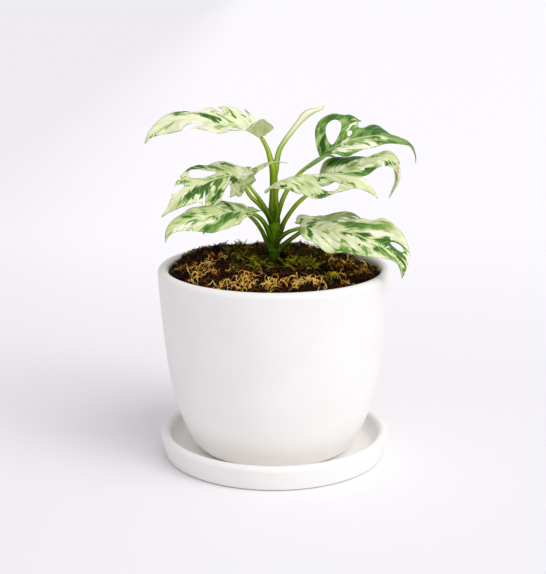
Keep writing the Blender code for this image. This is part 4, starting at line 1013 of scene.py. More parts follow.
def blade_tone(flat, length, marks, seed):
    """How green each point of the blade is, from 0, cream, to 1, dark green."""
    drift = np.stack([wander(flat, PATCH_WAVE, seed + more) for more in DRIFT_SEEDS], axis=1)
    sweep = streak_sweep(flat, length)
    way = unit(np.stack([sweep, np.sign(flat[:, 1])], axis=1))
    strands = np.stack([flat[:, 0] - sweep * np.abs(flat[:, 1]), STRAND_HOLD * flat[:, 1]], axis=1)
    fray = sum(weight * wander(strands, size, seed + more) for weight, size, more in FRAY_LAYERS)
    moved = flat + PATCH_DRIFT * drift + PATCH_FRAY * fray[:, None] * way
    tone = np.full(len(flat), marks["ground"])
    for x, y, long_half, wide_half, turn, level in marks["patches"]:
        cos, sin = math.cos(math.radians(turn)), math.sin(math.radians(turn))
        off_x, off_y = moved[:, 0] - x, moved[:, 1] - y
        away = np.hypot((off_x * cos + off_y * sin) / long_half, (off_y * cos - off_x * sin) / wide_half)
        tone += (level - tone) * (1.0 - smoothstep(*PATCH_EDGE, away))
    return tone


def dried_share(flat, spots):
    """How dried each point of the blade is, from spots, each (x, y, radius)."""
    dry = np.zeros(len(flat))
    for x, y, size in spots:
        away = np.hypot(flat[:, 0] - x, flat[:, 1] - y) / size
        dry = np.maximum(dry, 1.0 - smoothstep(*DRY_EDGE, away))
    return dry


def blade_fields(flat, edge, length, marks, seed):
    """What the leaf's surface reads at each point of one skin."""
    out = np.abs(flat[:, 1])
    root = flat[:, 0] - VEIN_SWEEP * out
    strand = flat[:, 0] - streak_sweep(flat, length) * out
    shift = np.full(len(flat), SEED_SHIFT * seed)
    fields = {key: np.stack([along, flat[:, 1], shift], axis=1) for key, along in (
        ("vein_place", root), ("leaf_place", flat[:, 0]), ("streak_place", strand))}
    fields["tone"] = blade_tone(flat, length, marks, seed)
    fields["edge"] = edge
    fields["vein_count"] = root / length * VEINS_PER_BLADE
    fields["yellow"] = smoothstep(*marks.get("yellow", NO_YELLOW), flat[:, 0] / length)
    fields["dry"] = dried_share(flat, marks.get("dry", ()))
    return fields


def add_blade(name, leaf, marks, surface, seed):
    """A leaf blade: two skins over one sheet of triangles, thin at the margin, keeled below."""
    rib = Midrib(leaf["rib"])
    flat, faces, edge = flat_blade(leaf, rib.length)
    sheet = blade_points(leaf, rib, flat)
    normals = vertex_normals(sheet, faces)
    half = 0.5 * (BLADE_MARGIN + (BLADE_MIDDLE - BLADE_MARGIN) * smoothstep(0.0, MARGIN_REACH, edge))
    keel = RIB_DEPTH * np.clip(1.0 - np.abs(flat[:, 1]) / RIB_ROW, 0.0, 1.0) ** RIB_EASE
    keel = keel * np.clip(1.0 - flat[:, 0] / rib.length, 0.0, 1.0) * (flat[:, 0] > RIB_START)
    relief = vein_relief(flat, edge, rib.length)
    top = sheet + normals * (half + relief)[:, None]
    below = sheet + normals * (UNDER_RELIEF * relief - half - keel)[:, None]

    count = len(flat)
    sides = np.concatenate([faces[:, [0, 1]], faces[:, [1, 2]], faces[:, [2, 0]]])
    known = set(map(tuple, sides.tolist()))
    skins = faces.tolist() + (faces[:, ::-1] + count).tolist()
    skins += [(b, a, a + count, b + count) for a, b in known if (b, a) not in known]
    fields = blade_fields(flat, edge, rib.length, marks, seed)
    fields = {key: np.concatenate([values, values]) for key, values in fields.items()}
    fields["underside"] = np.repeat([0.0, 1.0], count)
    add_piece("leaf_" + name, np.concatenate([top, below]), skins, surface,
              "blade_" + name, "variegated_leaf", fields)


# Stalks, stem and the rolled leaf

def tube(points, radii, sides, steps, section):
    """A closed tube: its points and faces, and each point's share along it and angle round it."""
    path = smooth_curve(points, steps)
    widths = smooth_curve(np.array(radii)[:, None], steps)[:, 0]
    across = np.array([0.0, 1.0, 0.0])
    angle = full_turn(sides)
    rings = []
    for index, place in enumerate(path):
        along = unit(path[min(index + 1, len(path) - 1)] - path[max(index - 1, 0)])
        across = unit(across - along * (across @ along))
        other = np.cross(along, across)
        radius = widths[index] * section(angle, index / (len(path) - 1))
        spokes = np.outer(radius * np.cos(angle), across), np.outer(radius * np.sin(angle), other)
        rings.append(place + spokes[0] + spokes[1])
    numbers = np.arange(len(rings) * sides).reshape(-1, sides)
    faces = ring_faces(numbers) + [numbers[0, ::-1].tolist(), numbers[-1].tolist()]
    share = np.repeat(np.linspace(0.0, 1.0, len(rings)), sides)
    return np.concatenate(rings), faces, share, np.tile(angle, len(rings))


def stalk_section(angle, share):
    """A stalk's section: round with faint ribs, fuller where it clasps the stem and at its joint."""
    clasp = 1.0 + CLASP_SWELL * (1.0 - smoothstep(0.0, CLASP_REACH, share))
    joint = 1.0 + JOINT_SWELL * np.exp(-((share - JOINT_PLACE) / JOINT_WIDTH) ** 2)
    return clasp * joint * (1.0 + STALK_RIB_DEPTH * np.sin(STALK_RIBS * angle))


def add_stalk(name, leaf, surface):
    """A leaf's stalk, from the stem to the notch of its blade."""
    points, faces, share, turn = tube(leaf["stalk"], leaf["stalk_radii"], *STALK_MESH, stalk_section)
    width, length = STALK_GRAIN
    streak = np.column_stack([polar(width, turn), share * length + len(name)])
    add_piece("stalk_fine_" + name, points, faces, surface, "stalk_" + name, "stalk_green",
              {"along": share, "streak_place": streak}, STALK_CREASE)


def stem_section(angle, share):
    """The stem's section: round with faint lengthwise ribs."""
    return sum((depth * np.sin(ribs * angle + twist * share) for ribs, depth, twist in STEM_RIBS), 1.0)


def add_stem(surface):
    """The main stem with its node rings and scars."""
    heights, widths = np.array(STEM_PROFILE).T
    fine = np.linspace(heights[0], heights[-1], STEM_STEPS)
    radii = np.interp(fine, heights, widths)
    radii += sum(size * np.exp(-((fine - height) / RING_WIDTH) ** 2) for height, size in NODE_RINGS)
    path = np.stack([np.zeros(STEM_STEPS), np.zeros(STEM_STEPS), fine], axis=1)
    points, faces, share, turn = tube(path, radii, *STEM_MESH, stem_section)
    width, length = STEM_GRAIN
    streak = np.column_stack([polar(width, turn), share * length])
    add_piece("stem_fine", points, faces, surface, "stem", "stem_green",
              {"along": share, "streak_place": streak}, STALK_CREASE)


def rolled_section(angle, share):
    """The snail-like section of a rolled leaf: its radius grows to the free edge, then steps in."""
    rolled = angle / (2.0 * math.pi)
    grown = ROLL_LEAST + ROLL_GROWTH * smoothstep(0.0, 1.0, rolled)
    return grown - ROLL_STEP * smoothstep(*ROLL_EDGE, rolled)


def add_new_leaf(surface):
    """The new leaf, still rolled lengthwise round itself."""
    rows = np.array(NEW_LEAF)
    points, faces, share, turn = tube(rows[:, :3], rows[:, 3], *NEW_LEAF_MESH, rolled_section)
    width, length = ROLL_GRAIN
    streak = np.stack([turn * width, share * length, np.zeros(len(share))], axis=1)
    add_piece("new_leaf_fine", points, faces, surface, "new_leaf", "new_leaf_green",
              {"along": share, "streak_place": streak}, ROLL_CREASE)


# Pot and saucer

def turned(profile):
    """A closed body turned about the Z axis from a closed (radius, height) outline."""
    angle = full_turn(TURN_STEPS)
    points = []
    rings = []
    for radius, height in profile:
        first = len(points)
        if radius < ON_AXIS:
            rings.append([first] * TURN_STEPS)
            points.append((0.0, 0.0, height))
        else:
            rings.append(list(range(first, first + TURN_STEPS)))
            points += [(x, y, height) for x, y in polar(radius, angle)]
    faces = []
    for low, high in zip(rings, rings[1:] + rings[:1]):
        for i in range(TURN_STEPS):
            j = (i + 1) % TURN_STEPS
            corners = list(dict.fromkeys((low[i], high[i], high[j], low[j])))
            if len(corners) > 2:
                faces.append(corners)
    return np.array(points), faces


def arc(centre, radius, start, end, steps):
    """Points of an arc in the (radius, height) plane, angles in degrees."""
    angle = np.radians(np.linspace(start, end, steps + 1))
    return (np.array(centre) + polar(radius, angle)).tolist()


def pot_outer_radius(height):
    """The radius of the pot's outer wall at this height."""
    radii, heights = zip(*POT_OUTSIDE)
    return float(np.interp(height, heights, radii))


def add_pot(surface):
    """The pot with its rounded lip and drain hole."""
    recess = POT_FOOT + FOOT_RECESS
    inner = [(pot_outer_radius(height) - POT_WALL, height) for height in INNER_WALL_HEIGHTS]
    profile = [(DRAIN_RADIUS, recess), (FOOT_RING_INSIDE - FOOT_RING_BEVEL, recess)]
    profile += [(FOOT_RING_INSIDE, POT_FOOT)]
    profile += smooth_curve(POT_OUTSIDE, WALL_STEPS).tolist()
    profile += arc(LIP_CENTRE, LIP_RADIUS, *LIP_ARC, RIM_STEPS)
    profile += smooth_curve(inner + list(INNER_CORNER), INSIDE_STEPS).tolist()
    profile += [(DRAIN_RADIUS, POT_FOOT + POT_FLOOR)]
    add_piece("pot_fine", *turned(profile), surface, "pot", "white_ceramic", sharp=CERAMIC_CREASE)


def add_saucer(surface):
    """The saucer: a shallow dish with a rounded rim and a flat underside."""
    profile = list(SAUCER_UNDERSIDE)
    profile += arc(SAUCER_RIM_CENTRE, SAUCER_RIM_RADIUS, *SAUCER_RIM_ARC, RIM_STEPS)
    profile += smooth_curve(SAUCER_INSIDE, DISH_STEPS).tolist()[1:]
    profile += [(SAUCER_FLOOR_REACH, SAUCER_FLOOR), (0.0, SAUCER_FLOOR)]
    add_piece("saucer_fine", *turned(profile), surface, "saucer", "white_ceramic", sharp=CERAMIC_CREASE)


# Moss

def moss_height(x, y):
    """The height of the moss: a low mound with a few broad swells, and lumps by noise."""
    spread = min(1.0, math.hypot(x, y) / MOSS_MOUTH_RADIUS)
    mound = MOSS_EDGE + (MOSS_CROWN - MOSS_EDGE) * (1.0 - spread ** 3)
    for swell_x, swell_y, size, rise in MOSS_SWELLS:
        mound += rise * math.exp(-0.5 * (math.hypot(x - swell_x, y - swell_y) / size) ** 2)
    place = Vector((x / MOSS_LUMP, y / MOSS_LUMP, MOSS_LUMP_SEED))
    lumps = noise.noise(place) + 0.5 * noise.noise(place * FINE_LUMPS)
    return mound + MOSS_RELIEF * lumps


def green_reach(angle):
    """The wandering edge between the green moss and the brown."""
    swing = sum(size * math.sin(turns * angle + start) for size, turns, start in GREEN_WAVES)
    return GREEN_MOSS_REACH + swing


def mat_relief(x, y):
    """Fine crumbs and tufts on the mat, in millimetres."""
    tufts, crumbs = (height * noise.noise(Vector((x / size, y / size, seed)))
                     for height, size, seed in MAT_LUMPS)
    return tufts + crumbs - MAT_SINK


def add_mat(name, node, slot, inner, outer, rings, surface):
    """A mat of moss between an inner and an outer edge, flat below and crumbly above."""
    points = []
    for angle in full_turn(MAT_SECTORS):
        across, away = math.cos(angle), math.sin(angle)
        for ring in range(rings + 1):
            radius = inner(angle) + (outer(angle) - inner(angle)) * ring / rings
            x, y = radius * across, radius * away
            points.append((x, y, moss_height(x, y) + mat_relief(x, y)))
        for radius in (outer(angle), inner(angle)):
            points.append((radius * across, radius * away, SOIL_TOP + GAP))
    numbers = np.arange(len(points)).reshape(MAT_SECTORS, -1)
    add_piece(name, points, ring_faces(np.vstack([numbers, numbers[:1]])), surface, node, slot)


def strand_paths(rng, roots, strands, upright):
    """Curly threads that lie on the moss, or stand up from it: an array of points for each."""
    shortest, longest, steps, curl, lift = strands
    count = len(roots)
    stride = rng.uniform(shortest, longest, count) / steps
    heading = rng.uniform(0.0, 2.0 * math.pi, count)
    turning = rng.normal(0.0, curl, count)
    rise = lift * rng.uniform(*RISE_RANGE, count)
    run = np.where(upright, UPRIGHT_RUN, 1.0)
    x, y = roots.T
    paths = np.zeros((count, steps + 1, 3))
    for step in range(steps + 1):
        t = step / steps
        radius = np.hypot(x, y)
        held = np.clip(radius, STEM_HOLE_RADIUS + STEM_CLEARANCE, THREAD_REACH)
        limit = held / np.maximum(radius, TINY)
        x, y = x * limit, y * limit
        ground = np.array([moss_height(a, b) for a, b in zip(x, y)])
        arch = np.where(upright, t ** UPRIGHT_EASE, math.sin(math.pi * t) ** ARCH_EASE)
        wobble = rng.normal(0.0, THREAD_WOBBLE, count) if step else -ROOT_DEPTH
        paths[:, step] = np.stack([x, y, ground - THREAD_SINK + rise * arch + wobble], axis=1)
        heading += turning + rng.normal(0.0, curl * KINK_SHARE, count)
        x = x + stride * np.cos(heading) * run
        y = y + stride * np.sin(heading) * run
    return paths


def frond_paths(rng, roots, length):
    """Feathery fronds: leaning spines, and pairs of side twigs that shorten towards the tips."""
    count = len(roots)
    heading = rng.uniform(0.0, 2.0 * math.pi, count)
    lean = rng.uniform(*FROND_LEAN, count)
    steps = FROND_PAIRS + 1
    spines = np.zeros((count, steps + 1, 3))
    spines[:, 0] = [(x, y, moss_height(x, y) - FROND_SINK) for x, y in roots]
    for step in range(steps):
        way = np.column_stack([polar(np.sin(lean), heading), np.cos(lean)])
        spines[:, step + 1] = spines[:, step] + way * (length / steps)[:, None]
        lean += rng.uniform(0.0, FROND_DROOP, count)
        heading += rng.normal(0.0, FROND_SWAY, count)
    twigs = []
    for pair in range(1, steps):
        way = unit(spines[:, pair + 1] - spines[:, pair])
        across = unit(np.cross(way, rng.normal((0.0, 0.0, 1.0), FROND_TILT, (count, 3))))
        reach = FROND_WIDTH * length * (1.0 - FROND_TAPER * pair / steps) * rng.uniform(*FROND_RANGE, count)
        for sign in (-1.0, 1.0):
            places = [spines[:, pair]]
            for ahead, aside in FROND_TWIG_WAYS:
                growth = ahead * way + sign * aside * across
                places.append(places[-1] + growth * 0.5 * reach[:, None])
            twigs.append(np.stack(places, axis=1))
    return spines, np.concatenate(twigs)


def twig_paths(rng, parents, per_parent, length, steps):
    """Short side twigs that leave the threads at random points."""
    count = len(parents) * per_parent
    parent = np.repeat(np.arange(len(parents)), per_parent)
    at = rng.integers(1, parents.shape[1] - 1, count)
    start = parents[parent, at]
    way = unit(parents[parent, at + 1] - parents[parent, at - 1])
    side = unit(np.cross(way, rng.normal(0.0, 1.0, (count, 3))))
    side[:, 2] = np.abs(side[:, 2])
    growth = unit(TWIG_LEAN * way + side)
    long = length * rng.uniform(*TWIG_RANGE, count)
    paths = np.zeros((count, steps + 1, 3))
    for step in range(steps + 1):
        paths[:, step] = start + growth * (long * step / steps)[:, None]
        growth = unit(growth + rng.normal(0.0, TWIG_BEND, (count, 3)))
    return paths, parent


def curl_group(curls, size):
    """Curls given one by one, as a group of threads: their paths, radii and tints."""
    tints, radii, shapes = zip(*curls)
    paths = []
    for shape in shapes:
        points = [(x, y, moss_height(x, y) + lift) for x, y, lift in shape]
        paths.append(evenly(smooth_curve(points, CURL_CURVE_STEPS), CURL_STEPS))
    return np.array(paths), size * np.array(radii), np.array(tints)


def thread_mesh(paths, radius):
    """Three-sided tubes along the paths, slimmer towards both ends."""
    count, steps, _ = paths.shape
    along = unit(np.gradient(paths, axis=1))
    across = unit(np.cross(along, THREAD_UP))
    other = np.cross(along, across)
    t = np.linspace(0.0, 1.0, steps)
    swell = THREAD_ENDS + (1.0 - THREAD_ENDS) * np.sin(math.pi * t)
    width = radius[:, None] * (1.0 - THREAD_TAPER * t ** 2) * swell
    rings = np.stack([
        paths + width[..., None] * (across * math.cos(turn) + other * math.sin(turn))
        for turn in full_turn(3)], axis=2)
    numbers = np.arange(count * steps * 3).reshape(count, steps, 3)
    caps = np.concatenate([numbers[:, 0, ::-1], numbers[:, -1]])
    return rings.reshape(-1, 3), ring_faces(numbers) + caps.tolist()


def scattered(rng, count, inner, outer, start=0.0, end=360.0):
    """Random places in a ring of the moss, between two bearings in degrees."""
    radius = np.sqrt(rng.uniform(inner ** 2, outer ** 2, count))
    bearing = np.radians(rng.uniform(start, end, count))
    return polar(radius, bearing)


def tuft_roots(rng, tufts):
    """Where the threads of the tufts stand, and their tints."""
    roots = [rng.normal((x, y), spread, (count, 2)) for x, y, spread, count, _ in tufts]
    tints = [np.full(count, tint) for *_, count, tint in tufts]
    return np.concatenate(roots), np.concatenate(tints)


def clump_tints(roots, clumps):
    """Tints that the threads of a clump share, from (level, swing, size, seed)."""
    level, swing, size, seed = clumps
    return level + swing * wander(roots, size, seed)


def add_threads(name, slot, surface, groups):
    """One piece of moss threads, from groups of threads, each (paths, radii, tints)."""
    points, faces, tints, along = [], [], [], []
    first = 0
    for paths, radius, tint in groups:
        thread_points, thread_faces = thread_mesh(paths, radius)
        faces += [[corner + first for corner in face] for face in thread_faces]
        points.append(thread_points)
        tints.append(np.repeat(tint, paths.shape[1] * 3))
        along.append(np.tile(np.repeat(np.linspace(0.0, 1.0, paths.shape[1]), 3), len(paths)))
        first += len(thread_points)
    add_piece(name, np.concatenate(points), faces, surface, slot=slot,
              fields={"tint": np.concatenate(tints), "along": np.concatenate(along)})


def dark_threads(rng):
    """Dark threads everywhere, and short upright ones at the back."""
    roots = scattered(rng, DARK_THREADS, *DARK_RING)
    paths = strand_paths(rng, roots, DARK_STRANDS, False)
    tint = clump_tints(roots, DARK_CLUMPS) + rng.normal(0.0, DARK_MIX, DARK_THREADS)
    groups = [(paths, rng.uniform(*DARK_RADII, DARK_THREADS), np.clip(tint, 0.0, 1.0))]
    roots = scattered(rng, BACK_THREADS, *BACK_RING)
    paths = strand_paths(rng, roots, BACK_STRANDS, True)
    groups.append((paths, rng.uniform(*BACK_RADII, BACK_THREADS), rng.uniform(*BACK_TINTS, BACK_THREADS)))
    return groups


def gold_threads(rng):
    """Gold curls with twigs, and thinner threads in tufts and alone."""
    paths, radius, tint = curl_group(GOLD_CURLS, GOLD_CURL_SIZE)
    twigs, parent = twig_paths(rng, paths, *CURL_TWIGS)
    groups = [(paths, radius, tint), (twigs, TWIG_SIZE * radius[parent], tint[parent])]
    tufts, levels = tuft_roots(rng, GOLD_TUFTS)
    loose = scattered(rng, GOLD_LOOSE, *GOLD_RING)
    roots = np.concatenate([tufts, loose])
    levels = np.concatenate([levels, clump_tints(loose, GOLD_CLUMPS)])
    tint = np.clip(levels + rng.normal(0.0, GOLD_MIX, len(roots)), 0.0, 1.0)
    upright = rng.uniform(0.0, 1.0, len(roots)) < GOLD_UPRIGHT
    paths = strand_paths(rng, roots, GOLD_STRANDS, upright)
    radius = rng.uniform(*GOLD_RADII, len(roots))
    twigs, parent = twig_paths(rng, paths, *LOOSE_TWIGS)
    groups.append((paths, radius, tint))
    groups.append((twigs, TWIG_SIZE * radius[parent], np.clip(tint[parent] + TWIG_TINT, 0.0, 1.0)))
    return groups


def green_threads(rng):
    """Green threads near the stem and behind it, feathery fronds in tufts, and curls."""
    near = scattered(rng, GREEN_THREADS, *GREEN_RING)
    edge = np.array([green_reach(bearing) for bearing in np.arctan2(near[:, 1], near[:, 0])]) + GREEN_OVERHANG
    near = near[np.hypot(*near.T) < edge]
    roots = np.concatenate([near, scattered(rng, GREEN_LOOSE, *GREEN_LOOSE_RING)])
    tint = clump_tints(roots, GREEN_CLUMPS) + rng.normal(0.0, GREEN_MIX, len(roots))
    from_stem = np.hypot(*roots.T) - STEM_HOLE_RADIUS
    tint -= STEM_SHADE * np.exp(-(from_stem / STEM_SHADE_REACH) ** 2)
    upright = rng.uniform(0.0, 1.0, len(roots)) < GREEN_UPRIGHT
    paths = strand_paths(rng, roots, GREEN_STRANDS, upright)
    groups = [(paths, rng.uniform(*GREEN_RADII, len(roots)), np.clip(tint, 0.0, 1.0))]
    roots, levels = tuft_roots(rng, GREEN_TUFTS)
    tint = np.clip(levels + rng.normal(0.0, FROND_MIX, len(roots)), 0.0, 1.0)
    spines, twigs = frond_paths(rng, roots, rng.uniform(*FROND_LENGTHS, len(roots)))
    groups.append((spines, np.full(len(spines), SPINE_RADIUS), tint))
    groups.append((twigs, np.full(len(twigs), FROND_TWIG_RADIUS), np.tile(tint, 2 * FROND_PAIRS)))
    groups.append(curl_group(GREEN_CURLS, 1.0))
    return groups


def add_moss_threads():
    """All the loose threads of moss, drawn from one row of random numbers."""
    rng = np.random.default_rng(MOSS_SEED)
    for key, slot, threads, tones in (
            ("dark", "dried_moss", dark_threads, DARK_TONES),
            ("gold", "dried_moss", gold_threads, GOLD_TONES),
            ("green", "green_moss", green_threads, GREEN_TONES)):
        add_threads("moss_threads_" + key, slot, thread_surface(key + "_threads", tones), threads(rng))


# Materials

def colour(red, green, blue):
    """A colour given in screen values from 0 to 255, as the linear values that shaders take."""
    parts = [value / 255.0 for value in (red, green, blue)]
    linear = [part / 12.92 if part <= 0.04045 else ((part + 0.055) / 1.055) ** 2.4 for part in parts]
    return (*linear, 1.0)


class Surface:
    """Builds one material's nodes with short calls."""

    def __init__(self, name, roughness, specular):
        self.material = bpy.data.materials.new(name)
        self.material.use_nodes = True
        self.tree = self.material.node_tree
        self.shader = self.tree.nodes["Principled BSDF"]
        self.shader.inputs["Roughness"].default_value = roughness
        self.shader.inputs["Specular IOR Level"].default_value = specular

    def add(self, kind, inputs=None, **settings):
        """A node with its settings, and its inputs given as values or as other nodes' outputs."""
        made = self.tree.nodes.new(kind)
        for key, value in settings.items():
            setattr(made, key, value)
        for key, value in (inputs or {}).items():
            if isinstance(value, bpy.types.NodeSocket):
                self.tree.links.new(value, made.inputs[key])
            else:
                made.inputs[key].default_value = value
        return made

    def field(self, name, output="Fac"):
        """A value kept on the mesh's points."""
        return self.add("ShaderNodeAttribute", attribute_name=name).outputs[output]

    def place(self):
        """Places on the piece in metres, which is where the piece is in the part's frame."""
        return self.add("ShaderNodeTexCoord").outputs["Object"]

    def axis(self, vector, name):
        """One of a place's X, Y and Z."""
        return self.add("ShaderNodeSeparateXYZ", {0: vector}).outputs[name]

    def side_shade(self):
        """0 where the surface is seen square on, rising to 1 where it turns away: used as painted shade at
        the sides of the stalks, stem and rolled leaf.
        """
        return self.add("ShaderNodeLayerWeight", {"Blend": 0.5}).outputs["Facing"]

    def scaled(self, vector, scale):
        """A place stretched by its own scale for each axis."""
        return self.add("ShaderNodeVectorMath", {0: vector, 1: scale}, operation="MULTIPLY").outputs[0]

    def noise(self, vector, scale, detail, roughness=0.55, distortion=0.0):
        """Noise at a place, with one scale or one for each axis."""
        if np.ndim(scale):
            vector, scale = self.scaled(vector, scale), 1.0
        made = self.add("ShaderNodeTexNoise", {
            "Vector": vector, "Scale": scale, "Detail": detail, "Roughness": roughness,
            "Distortion": distortion})
        return made.outputs["Fac"]

    def math(self, operation, a, b=0.0):
        """A sum of two values, or another operation on them."""
        return self.add("ShaderNodeMath", {0: a, 1: b}, operation=operation).outputs[0]

    def times(self, a, b):
        """The product of two values."""
        return self.math("MULTIPLY", a, b)

    def total(self, start, values, weights):
        """A level with values added to it, each by its own weight."""
        for value, weight in zip(values, weights):
            start = self.math("ADD", start, self.times(value, weight))
        return start

    def spread(self, value, low, high, out_low=0.0, out_high=1.0):
        """A value carried smoothly from one range to another."""
        made = self.add("ShaderNodeMapRange", {
            "Value": value, "From Min": low, "From Max": high, "To Min": out_low, "To Max": out_high},
            interpolation_type="SMOOTHSTEP")
        return made.outputs["Result"]

    def fade(self, value, low, high, most=1.0):
        """A share that falls smoothly to nothing as the value rises from low to high."""
        return self.spread(value, low, high, most, 0.0)

    def ramp(self, value, stops):
        """A colour read from stops, each (position, colour)."""
        made = self.add("ShaderNodeValToRGB", {"Fac": value})
        ramp = made.color_ramp
        while len(ramp.elements) < len(stops):
            ramp.elements.new(1.0)
        for element, (position, tone) in zip(ramp.elements, stops):
            element.position = position
            element.color = colour(*tone)
        return made.outputs["Color"]

    def mix(self, share, under, over, blend="MIX"):
        """One colour laid over another by a share; the upper one may be a screen colour."""
        if isinstance(over, tuple):
            over = colour(*over)
        made = self.add("ShaderNodeMix", {0: share, 6: under, 7: over}, data_type="RGBA", blend_type=blend)
        return made.outputs[2]

    def wear(self, colours, roughness=None, height=None, depth=0.0, strength=0.0):
        """Connects the colour, roughness and relief to the shader."""
        self.tree.links.new(colours, self.shader.inputs["Base Color"])
        if roughness is not None:
            self.tree.links.new(roughness, self.shader.inputs["Roughness"])
        if height is not None:
            bump = self.add("ShaderNodeBump", {"Strength": strength, "Distance": depth, "Height": height})
            self.tree.links.new(bump.outputs["Normal"], self.shader.inputs["Normal"])
        return self.material


def leaf_surface():
    """Cream and green marks with frayed edges, pale veins and a margin green in places."""
    look = Surface("leaf_variegated", *LEAF_SKIN)
    look.shader.inputs["Subsurface Weight"].default_value = LEAF_GLOW
    look.shader.inputs["Subsurface Radius"].default_value = LEAF_GLOW_RADII
    look.shader.inputs["Subsurface Scale"].default_value = LEAF_GLOW_REACH
    place = look.field("leaf_place", "Vector")
    streak = look.field("streak_place", "Vector")
    streaks = look.noise(streak, *LEAF_STREAKS)
    flecks = look.noise(streak, *LEAF_FLECKS)
    grain = look.noise(place, *LEAF_GRAIN)
    level = look.math("ADD", look.field("tone"), -0.5 * sum(LEAF_NOISE_WEIGHTS))
    base = look.ramp(look.total(level, (streaks, flecks, grain), LEAF_NOISE_WEIGHTS), LEAF_TONES)
    warm = look.mix(look.field("yellow"), base, look.mix(YELLOW_SHARE, base, LEAF_YELLOW, "MULTIPLY"))

    edge = look.field("edge")
    veins = look.fade(look.math("PINGPONG", look.field("vein_count"), 0.5), *VEIN_LINE)
    veined = look.mix(look.times(veins, look.spread(edge, *VEIN_FADE)), warm, VEIN_COLOUR)
    out = look.math("ABSOLUTE", look.axis(place, "Y"))
    ribbed = look.mix(look.fade(out, *RIB_LINE), veined, RIB_COLOUR)

    parts = look.spread(look.noise(place, *MARGIN_PATCHES), *MARGIN_PARTS)
    margined = look.mix(look.times(look.fade(edge, *MARGIN_LINE), parts), ribbed, MARGIN_COLOUR)
    dry = look.times(look.field("dry"), look.spread(flecks, *DRY_FLECKS))
    dried = look.mix(dry, margined, DRIED_COLOUR)
    # Undersides: their own paler colour, lifted further as painted light let through the blade
    finished = look.mix(look.field("underside"), dried, look.mix(UNDERSIDE_SHARE, dried, UNDERSIDE_PALE_AND_LIT))

    fibre = look.noise(look.field("vein_place", "Vector"), *LEAF_FIBRE)
    height = look.total(0.0, (fibre, grain), LEAF_BUMP_WEIGHTS)
    return look.wear(finished, look.spread(streaks, *LEAF_GLOSS), height, *LEAF_BUMP)


def stalk_surface():
    """A leaf stalk: yellow-green with fine lengthwise streaks, and painted shade: darker low down, under the
    leaves, and at its sides where it turns away from view.
    """
    look = Surface("stalk_skin", *STALK_SKIN)
    place = look.field("streak_place", "Vector")
    streak = look.noise(place, *STALK_STREAKS)
    blotch = look.noise(place, *STALK_BLOTCHES)
    # Painted shade: darker low down under the leaves, and where the stalk turns away from view
    low = look.spread(look.axis(look.place(), "Z"), *STALK_SHADE_RISE)
    tone = look.total(low, (look.field("along"), streak, blotch, look.side_shade()), STALK_WEIGHTS)
    rough = look.spread(blotch, *STALK_GLOSS)
    return look.wear(look.ramp(tone, STALK_TONES), rough, streak, *STALK_BUMP)


def stem_surface():
    """The main stem: deep green below its node, lighter above, with brown scars at the rings, and painted
    shade at its sides.
    """
    look = Surface("stem_skin", *STALK_SKIN)
    streak = look.noise(look.field("streak_place", "Vector"), *STEM_STREAKS)
    height = look.field("along")
    # Painted shade: darker at the stem's sides, where it turns away from view
    tone = look.total(look.math("ADD", height, STEM_LEVEL), (streak, look.side_shade()), STEM_WEIGHTS)
    scars = look.math("MAXIMUM", *(
        look.fade(look.math("ABSOLUTE", look.math("SUBTRACT", height, share)), *SCAR_LINE)
        for share in STEM_SCARS))
    scars = look.times(scars, look.spread(streak, *SCAR_FLECKS))
    marked = look.mix(scars, look.ramp(tone, STEM_TONES), SCAR_COLOUR)
    return look.wear(marked, look.spread(streak, *STALK_GLOSS), streak, *STEM_BUMP)


def new_leaf_surface():
    """The rolled leaf: cream along its middle, striped along the roll, and darker yellow-green at its sides,
    where it turns away from view, as painted shade.
    """
    look = Surface("new_leaf_skin", *NEW_LEAF_SKIN)
    stripe = look.noise(look.field("streak_place", "Vector"), *NEW_LEAF_STRIPES)
    rise = look.spread(look.field("along"), *NEW_LEAF_RISE)
    # Painted shade: greener and darker at the roll's sides, where it turns away from view
    tone = look.total(rise, (stripe, look.side_shade()), NEW_LEAF_WEIGHTS)
    return look.wear(look.ramp(tone, NEW_LEAF_TONES), None, stripe, *STALK_BUMP)


def ceramic_surface():
    """White eggshell glaze, faintly clouded, with painted bounce light: lighter and warmer on the pot's foot
    and in the saucer.
    """
    look = Surface("white_glaze", *GLAZE_SKIN)
    place = look.place()
    clouds, grain, swell, dots = (
        look.noise(place, *kind) for kind in (GLAZE_CLOUDS, GLAZE_GRAIN, GLAZE_SWELL, GLAZE_DOTS))
    level = look.scaled(place, (1.0, 1.0, 0.0))
    out = look.add("ShaderNodeVectorMath", {0: level}, operation="LENGTH").outputs["Value"]
    # Painted bounce light: lighter and warmer glaze low on the pot and in the saucer
    foot = look.times(look.fade(look.axis(place, "Z"), *BOUNCE_LIGHT_RISE), look.fade(out, *BOUNCE_LIGHT_REACH))
    warm = look.mix(foot, look.ramp(clouds, GLAZE_TONES), GLAZE_BOUNCE_LIGHT)
    marked = look.mix(look.spread(dots, *DOT_SPAN), warm, DOT_COLOUR)
    height = look.total(0.0, (swell, grain), GLAZE_BUMP_WEIGHTS)
    return look.wear(marked, look.spread(clouds, *GLAZE_GLOSS), height, *GLAZE_BUMP)


def crumb_surface(name, stops):
    """Crumbly matter in patches of several tones, rough all over."""
    look = Surface(name, *CRUMB_SKIN)
    place = look.place()
    patches, swell, grain = (look.noise(place, *kind) for kind in (CRUMB_PATCHES, CRUMB_SWELL, CRUMB_GRAIN))
    tone = look.total(0.0, (patches, swell), CRUMB_WEIGHTS)
    return look.wear(look.ramp(tone, stops), None, grain, *CRUMB_BUMP)


